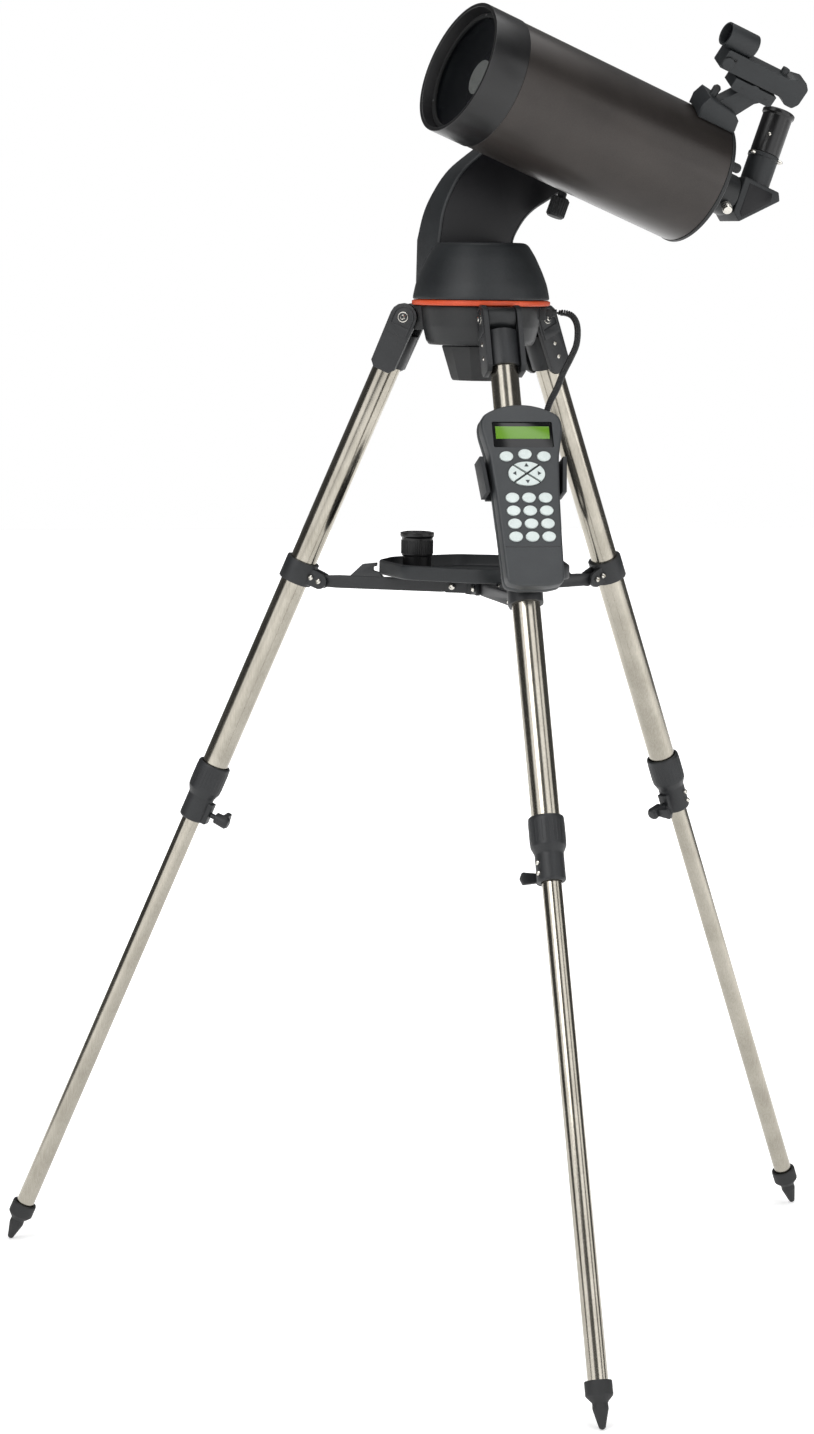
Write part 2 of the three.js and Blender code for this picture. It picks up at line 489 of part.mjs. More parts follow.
const KEY = { menu: -159, arrows: -180, rows: [-207, -221.5, -236, -250.5], pitch: 18, r: [7.4, 5.6] };
const handsetHalf = [...arc(0, -178, 77, 62, 90, 4).reverse(), [42, -114], [44.5, -122], [44, -132], [38, -160],
  [35, -200], [33, -250], [31.5, -296], [29, -301.5], [15, -304.5]];
const handsetOutline = [...handsetHalf, ...handsetHalf.slice(1).reverse().map(([x, z]) => [-x, z])].reverse();
const keyCentres = [
  ...[-20.5, 0, 20.5].map((x) => [x, KEY.menu + (x ? -1.5 : 1)]),
  ...KEY.rows.flatMap((z) => [-KEY.pitch, 0, KEY.pitch].map((x) => [x, z])),
];
const arrowPad = (grow) => oval(0, KEY.arrows, 20 + grow, 13.5 + grow, 20);
function handsetFront() {
  const { split, face } = HANDSET;
  const shell = wallPlate(handsetOutline, face, split - GAP, 2.5);
  const cavity = wallPlate(inset(handsetOutline, 3), face + 4, split + 5);
  const window = wallPlate([[-33, -150], [33, -150], [33, -121], [-33, -121]], face - 5, face + 10);
  const holes = keyCentres.map(([x, z]) => wallPlate(oval(x, z, KEY.r[0] + GAP, KEY.r[1] + GAP), face - 5, face + 10));
  return cut(shell, cavity, window, wallPlate(arrowPad(GAP), face - 5, face + 10), ...holes);
}
function handsetBack() {
  const { back, split } = HANDSET;
  const shell = wallPlate(handsetOutline, split, back, 2.5);
  const cavity = wallPlate(inset(handsetOutline, 3), split - 5, back - 3);
  return cut(shell, cavity);
}
function keypad() {
  const { face } = HANDSET;
  const mat = wallPlate([[-28, -259], [28, -259], [31, -152], [-31, -152]], face + 4 + GAP, face + 5.6);
  const keys = keyCentres.map(([x, z]) => wallPlate(oval(x, z, ...KEY.r), face - 2, face + 5));
  return cut(join(mat, ...keys), wallPlate(arrowPad(1.5), face, face + 10));
}
function arrowKeys() {
  const { face } = HANDSET;
  const pad = wallPlate(arrowPad(0), face - 2, face + 5);
  const groove = (turn) => put(block([-30, face - 3, -1.1], [30, face - 0.5, 1.1]), [0, 0, KEY.arrows], [0, turn, 0]);
  return cut(pad, groove(34), groove(-34));
}
const display = () => wallPlate([[-32.6, -149.6], [32.6, -149.6], [32.6, -121.4], [-32.6, -121.4]],
  HANDSET.face + 1.2, HANDSET.face + 3.6);
function handsetHolder() {
  const clip = put(pipe(LEG.tubeR + GAP, LEG.tubeR + 3.5, -194, -170), [0, 0, 0]);
  const mouth = block([-9, 0, -200], [9, 30, -160]);
  const backing = wallPlate([[-40, -200], [40, -200], [43, -158], [-43, -158]], HANDSET.back + GAP, -19.5);
  const arm = (side) => wallPlate([[39.5, -198], [44, -198], [48, -158], [43.5, -158]].map(([x, z]) => [side * x, z]),
    HANDSET.face + 6, -19.5);
  const web = block([-10, -20, -194], [10, -15.8, -170]);
  return join(cut(clip, mouth), backing, arm(1), arm(-1), cut(web, rod(LEG.tubeR + GAP, -200, -160)));
}
controller.add(
  piece("handset_front", handsetFront(), MATERIAL.charcoal),
  piece("handset_back", handsetBack(), MATERIAL.charcoal),
  piece("handset_display", display(), MATERIAL.display),
  piece("keypad", keypad(), MATERIAL.key),
  piece("arrow_keys", arrowKeys(), MATERIAL.key),
  piece("handset_holder", handsetHolder(), MATERIAL.black),
);

export default telescope;
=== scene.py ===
"""Looks of a short closed-tube telescope on a single-arm motorised mount and a folding steel tripod.

Shapes are drawn in millimetres in the frame of the piece they belong to (tripod, leg, mount, tube, finder),
and one matrix for each frame puts them in the part's own frame, in metres.
"""
import json
import math

import bmesh
import bpy
from mathutils import Matrix, Vector


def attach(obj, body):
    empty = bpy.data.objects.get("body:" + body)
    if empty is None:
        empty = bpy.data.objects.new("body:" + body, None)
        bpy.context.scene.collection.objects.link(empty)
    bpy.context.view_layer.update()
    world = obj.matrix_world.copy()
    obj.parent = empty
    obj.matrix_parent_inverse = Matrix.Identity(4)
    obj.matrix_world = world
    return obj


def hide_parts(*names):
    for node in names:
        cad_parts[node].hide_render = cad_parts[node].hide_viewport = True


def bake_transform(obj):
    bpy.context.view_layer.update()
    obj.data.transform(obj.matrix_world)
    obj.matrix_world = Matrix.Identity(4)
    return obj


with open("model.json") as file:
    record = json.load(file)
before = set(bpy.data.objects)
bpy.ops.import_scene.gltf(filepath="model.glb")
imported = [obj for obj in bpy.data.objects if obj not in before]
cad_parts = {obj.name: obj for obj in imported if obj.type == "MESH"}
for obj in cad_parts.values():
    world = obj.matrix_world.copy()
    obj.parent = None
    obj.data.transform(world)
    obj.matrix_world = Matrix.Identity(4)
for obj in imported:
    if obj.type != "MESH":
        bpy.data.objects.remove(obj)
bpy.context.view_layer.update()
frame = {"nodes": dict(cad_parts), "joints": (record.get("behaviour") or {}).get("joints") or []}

MM = 0.001
LEGS = ("front", "right", "left")


# ---------------------------------------------------------------- frames
def turn(degrees, axis):
    return Matrix.Rotation(math.radians(degrees), 4, axis)


def move(x, y, z):
    return Matrix.Translation((x, y, z))


azimuth = next(j for j in frame["joints"] if j["name"] == "azimuth")
AXIS_Y = azimuth["pos_m"][1]  # the tripod's vertical axis
HINGE_RADIUS, HINGE_HEIGHT = 83.2, 1092.5  # leg hinges, mm
FOOT_CIRCLE, TIP_HEIGHT = 561, 4  # centres of the feet's round tips, mm
SPLAY = math.degrees(math.atan2(FOOT_CIRCLE - HINGE_RADIUS, HINGE_HEIGHT - TIP_HEIGHT))
FOOT_TIP = (HINGE_HEIGHT - TIP_HEIGHT) / math.cos(math.radians(SPLAY))
MOUNT_TURN, TUBE_TILT = 13.46, 20.9  # how the mount and the tube stand at rest, degrees
ALTITUDE = (126, 1283.5)  # the altitude axis in the mount's own x and z, mm

TRIPOD = Matrix.Translation((0, AXIS_Y, 0)) @ Matrix.Scale(MM, 4)
BEARING = [TRIPOD @ turn(120 * k, "Z") for k in range(3)]
LEG = [b @ move(0, -HINGE_RADIUS, HINGE_HEIGHT) @ turn(-SPLAY, "X") for b in BEARING]
MOUNT = TRIPOD @ turn(MOUNT_TURN, "Z")
TUBE = MOUNT @ move(ALTITUDE[0], 0, ALTITUDE[1]) @ turn(TUBE_TILT, "Y")
OPTICS = TUBE @ move(0, -85, 0)
FINDER = OPTICS @ turn(30, "X")
ALONG_X = turn(90, "Y")
ALONG_Y = turn(-90, "X")
AXIS = OPTICS @ ALONG_X  # what is turned about the tube's axis
UPRIGHT = turn(90, "X")  # a flat outline's second number then stands up


# ---------------------------------------------------------------- camera
ROLL, PITCH, TURN = math.radians(0.73), math.radians(-6.88), math.radians(13.14)
LENS_MM, SENSOR_MM = 94.35, 36
STAND = (-1.0243, AXIS_Y - 4.0538, 1.1515)  # where the camera is, m


def aim(direction):
    """A direction of the level camera, after its roll, pitch and turn."""
    x, y, z = direction
    c, s = math.cos(ROLL), math.sin(ROLL)
    x, z = c * x - s * z, s * x + c * z
    c, s = math.cos(PITCH), math.sin(PITCH)
    y, z = c * y - s * z, s * y + c * z
    c, s = math.cos(TURN), math.sin(TURN)
    return Vector((c * x + s * y, -s * x + c * y, z))


lens = bpy.data.cameras.new("camera")
lens.lens = LENS_MM
lens.sensor_width = SENSOR_MM
lens.clip_end = 60
camera = bpy.data.objects.new("camera", lens)
right, forward, up = aim((1, 0, 0)), aim((0, 1, 0)), aim((0, 0, 1))
camera.matrix_world = Matrix((right, up, -forward)).transposed().to_4x4()
camera.location = STAND
bpy.context.scene.collection.objects.link(camera)
bpy.context.scene.camera = camera


# ---------------------------------------------------------------- nodes and materials
def node(tree, kind, values=None, links=None, **settings):
    """Adds a node with its settings, its input values and the sockets that feed it."""
    made = tree.nodes.new(kind)
    for key, value in settings.items():
        setattr(made, key, value)
    for key, value in (values or {}).items():
        made.inputs[key].default_value = value
    for key, socket in (links or {}).items():
        tree.links.new(socket, made.inputs[key])
    return made


def linear(code):
    """An sRGB hex colour as linear red, green, blue and alpha."""
    channels = [int(code[i:i + 2], 16) / 255 for i in (1, 3, 5)]
    return [c / 12.92 if c < 0.04045 else ((c + 0.055) / 1.055) ** 2.4 for c in channels] + [1]


def new_material(name):
    made = bpy.data.materials.new(name)
    made.use_nodes = True
    made.node_tree.nodes.clear()
    return made, made.node_tree


def finish_material(tree, shader_values, shader_links):
    shader = node(tree, "ShaderNodeBsdfPrincipled", shader_values, shader_links)
    node(tree, "ShaderNodeOutputMaterial", links={"Surface": shader.outputs["BSDF"]})


def surface(name, low, high, rough, grain_mm, depth_mm, patch_mm=25, stretch=(1, 1, 1), **shader):
    """A finish whose colour runs between two tones in soft patches, with a fine grain in its relief.

    rough is (smoothest, roughest); grain_mm and patch_mm are the sizes of the grain and of the patches."""
    made, tree = new_material(name)
    place = node(tree, "ShaderNodeTexCoord")
    across = node(tree, "ShaderNodeMapping", {"Scale": stretch}, {"Vector": place.outputs["Object"]})
    patches = node(tree, "ShaderNodeTexNoise", {"Scale": 1 / (patch_mm * MM), "Detail": 4.0},
                   {"Vector": place.outputs["Object"]})
    grain = node(tree, "ShaderNodeTexNoise", {"Scale": 1 / (grain_mm * MM), "Detail": 3.0},
                 {"Vector": across.outputs["Vector"]})
    blend = node(tree, "ShaderNodeMath", {1: 0.45}, {0: grain.outputs["Fac"]}, operation="MULTIPLY")
    mixed = node(tree, "ShaderNodeMath", {1: 0.55, 2: 0.0},
                 {0: patches.outputs["Fac"], 2: blend.outputs[0]}, operation="MULTIPLY_ADD")
    ramp = node(tree, "ShaderNodeValToRGB", links={"Fac": mixed.outputs[0]})
    ramp.color_ramp.elements[0].position, ramp.color_ramp.elements[0].color = 0.3, linear(low)
    ramp.color_ramp.elements[1].position, ramp.color_ramp.elements[1].color = 0.7, linear(high)
    sheen = node(tree, "ShaderNodeMapRange", {"To Min": rough[0], "To Max": rough[1]},
                 {"Value": mixed.outputs[0]})
    relief = node(tree, "ShaderNodeBump", {"Strength": 1.0, "Distance": depth_mm * MM},
                  {"Height": grain.outputs["Fac"]})
    finish_material(tree, shader, {"Base Color": ramp.outputs["Color"], "Roughness": sheen.outputs["Result"],
                                   "Normal": relief.outputs["Normal"]})
    return made


# Injection-moulded ABS with a fine spark-eroded grain: dark, with a broad soft highlight.
moulded_abs = surface("moulded_black_abs", "#16181a", "#202325", (0.42, 0.56), 2.2, 0.05, IOR=1.54,
                      **{"Specular IOR Level": 0.35})
# The same plastic polished in the mould, on the arm's inner cover; its base colour is darker than the moulded ABS
# partly as painted shade, for the shadow the tube casts on the cover, and partly for its polish.
polished_abs_and_painted_shade = surface("smooth_black_abs_with_painted_shade", "#0a0a0d", "#101013", (0.34, 0.42), 3.5, 0.02, IOR=1.54,
                     **{"Specular IOR Level": 0.25})
# Glass-filled nylon of the leg fittings: slightly greyer, with a faint mottling.
fitting_nylon = surface("glass_filled_black_nylon", "#141517", "#212325", (0.38, 0.55), 1.8, 0.06, IOR=1.53,
                        **{"Specular IOR Level": 0.4})
# Die-cast aluminium in satin black powder coat: a fine orange-peel relief.
powder_coat = surface("black_powder_coated_casting", "#131415", "#1d1f20", (0.36, 0.48), 1.6, 0.05, IOR=1.5,
                      **{"Specular IOR Level": 0.4})
# Turned aluminium, black anodised: a dark metal with fine turning lines.
anodised = surface("black_anodised_aluminium", "#0c0c0d", "#151516", (0.26, 0.36), 1.2, 0.02, IOR=1.5,
                   **{"Specular IOR Level": 0.45})
# Orange polypropylene of the ring between base and mount.
orange_plastic = surface("moulded_orange_polypropylene", "#b23c18", "#cc4f27", (0.36, 0.48), 1.5, 0.03, IOR=1.49)
# Metallic grey-bronze stove enamel on the tube: flakes under a clear coat.
tube_enamel = surface("metallic_bronze_grey_enamel", "#282422", "#37322f", (0.3, 0.4), 0.9, 0.012,
                      patch_mm=60, Metallic=0.6, **{"Coat Weight": 0.25, "Coat Roughness": 0.25})
# Stainless tube, drawn and polished: fine lines run down the leg.
polished_steel = surface("drawn_polished_stainless", "#948f84", "#b3aea3", (0.13, 0.22), 1.0, 0.006,
                         patch_mm=40, stretch=(1, 1, 0.04), Metallic=1.0)
# Nickel-plated screws and bolts.
nickel = surface("nickel_plated_steel", "#bdbab2", "#dedbd4", (0.16, 0.28), 0.8, 0.004, Metallic=1.0)
# Nitrile rubber of feet, knobs and the cord's jacket: dull, dusted grey.
rubber = surface("black_nitrile_rubber", "#121314", "#1d1e1f", (0.55, 0.72), 1.4, 0.04, IOR=1.52)
# PVC jacket of the coiled cord, a little glossier than rubber.
cord_jacket = surface("black_pvc_jacket", "#101112", "#191a1b", (0.35, 0.45), 1.2, 0.01, IOR=1.53)
# Charcoal ABS of the hand controller.
charcoal_abs = surface("moulded_charcoal_abs", "#242729", "#2e3133", (0.44, 0.56), 1.4, 0.04, IOR=1.54)
# Translucent silicone keys, lit pale from below.
silicone = surface("pale_silicone_keys", "#b7c0be", "#ccd4d1", (0.45, 0.55), 1.2, 0.02, IOR=1.41,
                   **{"Subsurface Weight": 0.2, "Subsurface Radius": (0.002, 0.002, 0.002)})
# Black silicone print on the arrow keys.
dark_print = surface("dark_printed_silicone", "#2c3133", "#3a4042", (0.5, 0.6), 1.2, 0.01, IOR=1.41)
# Gloss black acrylic round the display.
acrylic = surface("gloss_black_acrylic", "#08090a", "#0e0f10", (0.08, 0.14), 3.0, 0.002, IOR=1.49)
# Free-cutting brass of the two drive gears.
brass = surface("machined_brass", "#a5813f", "#c09a55", (0.28, 0.4), 1.0, 0.01, Metallic=1.0)
# Bright zinc on the motor cans.
zinc = surface("zinc_plated_can", "#9b9d9c", "#b9bbba", (0.3, 0.42), 2.0, 0.01, Metallic=1.0)
# Flocked black paint inside the tube and cells: takes the light away.
flock = surface("matt_black_lining", "#08090a", "#0d0e0f", (0.85, 0.95), 1.5, 0.03, IOR=1.45)


def coated_glass():
    """Optical glass with a magnesium fluoride coat: see-through, with a faint green to violet reflection."""
    made, tree = new_material("coated_optical_glass")
    edge = node(tree, "ShaderNodeLayerWeight", {"Blend": 0.35})
    tint = node(tree, "ShaderNodeValToRGB", links={"Fac": edge.outputs["Facing"]})
    tint.color_ramp.elements[0].color = linear("#0c1210")
    tint.color_ramp.elements[1].color = linear("#17101e")
    place = node(tree, "ShaderNodeTexCoord")
    dust = node(tree, "ShaderNodeTexNoise", {"Scale": 1 / (8 * MM), "Detail": 3.0},
                {"Vector": place.outputs["Object"]})
    haze = node(tree, "ShaderNodeMapRange", {"To Min": 0.03, "To Max": 0.09}, {"Value": dust.outputs["Fac"]})
    finish_material(tree, {"IOR": 1.52, "Alpha": 0.3, "Specular Tint": linear("#b9e6cf")},
                    {"Base Color": tint.outputs["Color"], "Roughness": haze.outputs["Result"]})
    return made


def aluminised():
    """Vacuum-deposited aluminium on glass, nearly a perfect mirror with a few faint sleeks."""
    made, tree = new_material("aluminised_mirror")
    place = node(tree, "ShaderNodeTexCoord")
    sleeks = node(tree, "ShaderNodeTexNoise", {"Scale": 1 / (5 * MM), "Detail": 5.0},
                  {"Vector": place.outputs["Object"]})
    haze = node(tree, "ShaderNodeMapRange", {"To Min": 0.1, "To Max": 0.2}, {"Value": sleeks.outputs["Fac"]})
    finish_material(tree, {"Base Color": linear("#e6e7e8"), "Metallic": 1.0}, {"Roughness": haze.outputs["Result"]})
    return made


def lit_display():
    """A backlit reflective LCD: yellow-green, with the faint square grid of its dots."""
    made, tree = new_material("backlit_liquid_crystal")
    place = node(tree, "ShaderNodeTexCoord")
    dots = node(tree, "ShaderNodeTexChecker", {"Scale": 1 / (1.6 * MM), "Color1": linear("#4f7a16"),
                                               "Color2": linear("#5b871d")}, {"Vector": place.outputs["Object"]})
    glow = node(tree, "ShaderNodeTexNoise", {"Scale": 1 / (30 * MM)}, {"Vector": place.outputs["Object"]})
    level = node(tree, "ShaderNodeMapRange", {"To Min": 0.02, "To Max": 0.08}, {"Value": glow.outputs["Fac"]})
    finish_material(tree, {"Roughness": 0.22, "IOR": 1.5, "Coat Weight": 0.4, "Coat Roughness": 0.05},
                    {"Base Color": dots.outputs["Color"], "Emission Color": dots.outputs["Color"],
                     "Emission Strength": level.outputs["Result"]})
    return made


lens_glass = coated_glass()
mirror = aluminised()
# The mirror spot on the corrector, which scatters a little through its overcoat.
satin_aluminium = surface("overcoated_aluminium_spot", "#bfc3bf", "#d4d7d2", (0.4, 0.5), 6.0, 0.002, Metallic=0.4)
display_glow = lit_display()


# ---------------------------------------------------------------- mesh making
EDGE_ANGLE = math.radians(32)


def link_mesh(mesh, name="work"):
    made = bpy.data.objects.new(name, mesh)
    bpy.context.scene.collection.objects.link(made)
    return made


def from_bmesh(bm, place=None):
    """A new object from a bmesh, merged, with its faces pointing out."""
    if place is not None:
        bm.transform(place)
    bmesh.ops.remove_doubles(bm, verts=bm.verts, dist=1e-7)
    bmesh.ops.recalc_face_normals(bm, faces=bm.faces)
    mesh = bpy.data.meshes.new("work")
    bm.to_mesh(mesh)
    bm.free()
    return link_mesh(mesh)


def settled(made):
    """Turns an object's modifiers into its own plain mesh."""
    evaluated = made.evaluated_get(bpy.context.evaluated_depsgraph_get())
    mesh = bpy.data.meshes.new_from_object(evaluated)
    made.modifiers.clear()
    made.data = mesh
    return made


def softened(made, width, segments=3):
    """The object with every edge sharper than EDGE_ANGLE rounded."""
    bevel = made.modifiers.new("edge", "BEVEL")
    bevel.width, bevel.segments = width, segments
    bevel.limit_method, bevel.angle_limit = "ANGLE", EDGE_ANGLE
    return settled(made)


def merged(made, tools, operation="UNION"):
    """The object joined with, or cut by, the tools, which are used up."""
    for tool in tools:
        step = made.modifiers.new("step", "BOOLEAN")
        step.operation, step.object, step.solver = operation, tool, "EXACT"
    settled(made)
    for tool in tools:
        bpy.data.objects.remove(tool)
    return made


def cut(made, *tools):
    return merged(made, tools, "DIFFERENCE")


def eased(points, reach, steps=4):
    """An outline or profile with each corner drawn as a short curve; reach is how far along its sides."""
    closed = points[0] == points[-1]
    ring = [Vector(p) for p in points]
    corners = list(zip(ring, ring[1:], ring[2:]))
    if closed:
        corners.append((ring[-2], ring[0], ring[1]))
    out = []
    for a, b, c in corners:
        before, after = (a - b), (c - b)
        p = b + before.normalized() * min(reach, before.length * 0.45)
        q = b + after.normalized() * min(reach, after.length * 0.45)
        for i in range(steps + 1):
            t = i / steps
            out.append(tuple((1 - t) ** 2 * p + 2 * t * (1 - t) * b + t * t * q))
    return out + [out[0]] if closed else [points[0]] + out + [points[-1]]


def arc(cx, cy, radius, start, end, steps):
    angles = [math.radians(start + (end - start) * i / steps) for i in range(steps + 1)]
    return [(cx + radius * math.cos(a), cy + radius * math.sin(a)) for a in angles]


def through(points, steps):
    """A smooth line through the points, as even steps of a Catmull-Rom curve."""
    ring = [Vector(p) for p in points]
    ring = [2 * ring[0] - ring[1], *ring, 2 * ring[-1] - ring[-2]]
    out = []
    for i in range(steps + 1):
        at = i / steps * (len(ring) - 3)
        k = min(int(at), len(ring) - 4)
        t = at - k
        a, b, c, d = ring[k:k + 4]
        out.append(tuple(0.5 * (2 * b + (c - a) * t + (2 * a - 5 * b + 4 * c - d) * t * t
                                + (3 * b - a - 3 * c + d) * t ** 3)))
    return out


def turned(profile, sides=72, place=None):
    """A body of revolution about Z from (radius, z) points, closed on itself or ending on the axis."""
    bm = bmesh.new()
    closed = profile[0] == profile[-1]
    rings = []
    for r, z in profile[:-1] if closed else profile:
        count = 1 if r < 1e-6 else sides
        rings.append([bm.verts.new((r * math.cos(math.tau * i / sides), r * math.sin(math.tau * i / sides), z))
                      for i in range(count)])
    pairs = list(zip(rings, rings[1:])) + ([(rings[-1], rings[0])] if closed else [])
    for low, high in pairs:
        for i in range(sides):
            j = (i + 1) % sides
            loop = [low[i % len(low)], low[j % len(low)], high[j % len(high)], high[i % len(high)]]
            bm.faces.new(list(dict.fromkeys(loop)))
    return from_bmesh(bm, place)


def lathe(profile, reach, sides=72, place=None):
    """A turned body whose profile has its corners eased."""
    return turned(eased(profile, reach), sides, place)


def rod(radius, low, high, sides=32, place=None, edge=0.4):
    return turned(eased([(0, low), (radius, low), (radius, high), (0, high)], edge, 3), sides, place)


def prism(outline, low, high, place=None):
    """A plate of a flat outline, from z = low to z = high."""
    bm = bmesh.new()
    points = outline[:-1] if outline[0] == outline[-1] else outline
    rows = [[bm.verts.new((x, y, z)) for x, y in points] for z in (low, high)]
    bm.faces.new(rows[0][::-1])
    bm.faces.new(rows[1])
    for i in range(len(points)):
        j = (i + 1) % len(points)
        bm.faces.new((rows[0][i], rows[0][j], rows[1][j], rows[1][i]))
    return from_bmesh(bm, place)


def upright(outline, low, high):
    """A plate of an (x, z) outline, from y = low to y = high."""
    return prism(outline, -high, -low, UPRIGHT)


def block(low, high):
    return prism([(low[0], low[1]), (high[0], low[1]), (high[0], high[1]), (low[0], high[1])], low[2], high[2])


def inset(points, distance):
    """A closed outline moved inwards; its points run anticlockwise."""
    out = []
    for i, p in enumerate(points):
        a, b = points[i - 1], points[(i + 1) % len(points)]
        length = math.hypot(b[0] - a[0], b[1] - a[1])
        out.append((p[0] - distance * (b[1] - a[1]) / length, p[1] + distance * (b[0] - a[0]) / length))
    return out


def of_node(name, width_mm):
    """A copy of a CAD node's shape with its flat faces whole again and its edges rounded."""
    bm = bmesh.new()
    bm.from_mesh(frame["nodes"][name].data)
    bmesh.ops.remove_doubles(bm, verts=bm.verts, dist=2e-6)
    bmesh.ops.dissolve_limit(bm, angle_limit=math.radians(1), verts=bm.verts, edges=bm.edges)
    return softened(from_bmesh(bm), width_mm * MM)


def piece(name, made, place, body, material, nodes=(), slot=None, crease=36):
    """Names a finished object, puts it in the part's frame, gives it its finish and lets it ride on its body."""
    made.name = made.data.name = name
    if place is not None:
        made.data.transform(place)
    made.data.materials.clear()
    made.data.materials.append(material)
    made.data.polygons.foreach_set("use_smooth", [True] * len(made.data.polygons))
    made.data.set_sharp_from_angle(angle=math.radians(crease))
    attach(made, body)
    if nodes:
        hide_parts(*nodes)
    return made


def kept_shape(name, node_name, width_mm, body, material, **more):
    """A piece in the shape of its CAD node, with the edges rounded."""
    return piece(name, of_node(node_name, width_mm), None, body, material, [node_name], **more)


# ---------------------------------------------------------------- what repeats: screws and ribs
def geometry_tree(name, sizes):
    """A Geometry Nodes tree with named inputs, and its group input and output."""
    tree = bpy.data.node_groups.new(name, "GeometryNodeTree")
    tree.interface.new_socket("Geometry", in_out="INPUT", socket_type="NodeSocketGeometry")
    for label, kind in sizes:
        tree.interface.new_socket(label, in_out="INPUT", socket_type="NodeSocket" + kind)
    tree.interface.new_socket("Geometry", in_out="OUTPUT", socket_type="NodeSocketGeometry")
    return tree, node(tree, "NodeGroupInput")


def end_tree(tree, source, instances):
    real = node(tree, "GeometryNodeRealizeInstances", links={"Geometry": instances})
    painted = node(tree, "GeometryNodeSetMaterial",
                   links={"Geometry": real.outputs["Geometry"], "Material": source.outputs["Material"]})
    node(tree, "NodeGroupOutput", links={"Geometry": painted.outputs["Geometry"]})


def screws_tree():
    """Cap screws with a hexagon socket, one on each point, facing along the point's own direction."""
    tree, sizes = geometry_tree("cap_screws", [("Head Radius", "Float"), ("Head Height", "Float"),
                                               ("Socket Radius", "Float"), ("Material", "Material")])
    head = node(tree, "GeometryNodeMeshCylinder", {"Vertices": 28},
                {"Radius": sizes.outputs["Head Radius"], "Depth": sizes.outputs["Head Height"]})
    crown = node(tree, "GeometryNodeMeshCone", {"Vertices": 28},
                 {"Radius Bottom": sizes.outputs["Head Radius"], "Radius Top": sizes.outputs["Socket Radius"],
                  "Depth": sizes.outputs["Head Height"]})
    socket = node(tree, "GeometryNodeMeshCylinder", {"Vertices": 6},
                  {"Radius": sizes.outputs["Socket Radius"], "Depth": sizes.outputs["Head Height"]})
    half = node(tree, "ShaderNodeMath", {1: 0.5}, {0: sizes.outputs["Head Height"]}, operation="MULTIPLY")
    lift = node(tree, "ShaderNodeCombineXYZ", links={"Z": half.outputs[0]})
    crown_up = node(tree, "GeometryNodeTransform",
                    links={"Geometry": crown.outputs["Mesh"], "Translation": lift.outputs[0]})
    hole_up = node(tree, "ShaderNodeCombineXYZ", links={"Z": sizes.outputs["Head Height"]})
    socket_up = node(tree, "GeometryNodeTransform",
                     links={"Geometry": socket.outputs["Mesh"], "Translation": hole_up.outputs[0]})
    body = node(tree, "GeometryNodeMeshBoolean", operation="UNION", solver="EXACT")
    tree.links.new(head.outputs["Mesh"], body.inputs["Mesh 2"])
    tree.links.new(crown_up.outputs["Geometry"], body.inputs["Mesh 2"])
    sunk = node(tree, "GeometryNodeMeshBoolean", operation="DIFFERENCE", solver="EXACT",
                links={"Mesh 1": body.outputs["Mesh"], "Mesh 2": socket_up.outputs["Geometry"]})
    facing = node(tree, "GeometryNodeInputNamedAttribute", {"Name": "facing"}, data_type="FLOAT_VECTOR")
    aimed = node(tree, "FunctionNodeAlignRotationToVector", links={"Vector": facing.outputs["Attribute"]}, axis="Z")
    placed = node(tree, "GeometryNodeInstanceOnPoints",
                  links={"Points": sizes.outputs["Geometry"], "Instance": sunk.outputs["Mesh"],
                         "Rotation": aimed.outputs["Rotation"]})
    end_tree(tree, sizes, placed.outputs["Instances"])
    return tree


def ribs_tree():
    """Round ribs standing along Z, evenly spaced about it."""
    tree, sizes = geometry_tree("grip_ribs", [("Count", "Int"), ("Circle Radius", "Float"), ("Rib Radius", "Float"),
                                              ("Length", "Float"), ("Material", "Material")])
    circle = node(tree, "GeometryNodeMeshCircle",
                  links={"Vertices": sizes.outputs["Count"], "Radius": sizes.outputs["Circle Radius"]})
    rib = node(tree, "GeometryNodeMeshCylinder", {"Vertices": 8},
               {"Radius": sizes.outputs["Rib Radius"], "Depth": sizes.outputs["Length"]})
    placed = node(tree, "GeometryNodeInstanceOnPoints",
                  links={"Points": circle.outputs["Mesh"], "Instance": rib.outputs["Mesh"]})
    end_tree(tree, sizes, placed.outputs["Instances"])
    return tree


SCREWS, RIBS = screws_tree(), ribs_tree()


def grown(points, directions, tree, values):
    """The plain mesh that a tree makes on points; values are its inputs by name."""
    mesh = bpy.data.meshes.new("points")
    mesh.from_pydata(points, [], [])
    if directions:
        facing = mesh.attributes.new("facing", "FLOAT_VECTOR", "POINT")
        facing.data.foreach_set("vector", [x for d in directions for x in d])
    made = link_mesh(mesh)
    step = made.modifiers.new("tree", "NODES")
    step.node_group = tree
    for item in tree.interface.items_tree:
        if item.in_out == "INPUT" and item.name in values:
            step[item.identifier] = values[item.name]
    return settled(made)


def screws(name, spots, place, body, head, height, material=nickel, slot=None):
    """Cap screws at (point, direction) pairs."""
    made = grown([p for p, _ in spots], [d for _, d in spots], SCREWS,
                 {"Head Radius": float(head), "Head Height": float(height), "Socket Radius": head * 0.52,
                  "Material": material})
    return piece(name, made, place, body, material, slot=slot)


def ribs(name, place, body, material, count, circle, rib, length):
    """Round ribs about Z, as a knurl or a grip has."""
    made = grown([(0, 0, 0)], None, RIBS,
                 {"Count": count, "Circle Radius": float(circle), "Rib Radius": float(rib), "Length": float(length),
                  "Material": material})
    return piece(name, made, place, body, material)


# ---------------------------------------------------------------- coiled cord
CORD_RADIUS = 3.7  # outside of the coil, mm
WIRE = 2.1  # thickness of the jacketed wire, mm
COIL_PITCH = 2.5  # mm from turn to turn
TURN_STEPS = 14  # points in each turn of the helix
DRAWN_STEPS = 20  # points over which each end is drawn in
PORT_TURN, PORT_HEIGHT = -14, 1099  # the port on the head: degrees about the axis, mm up
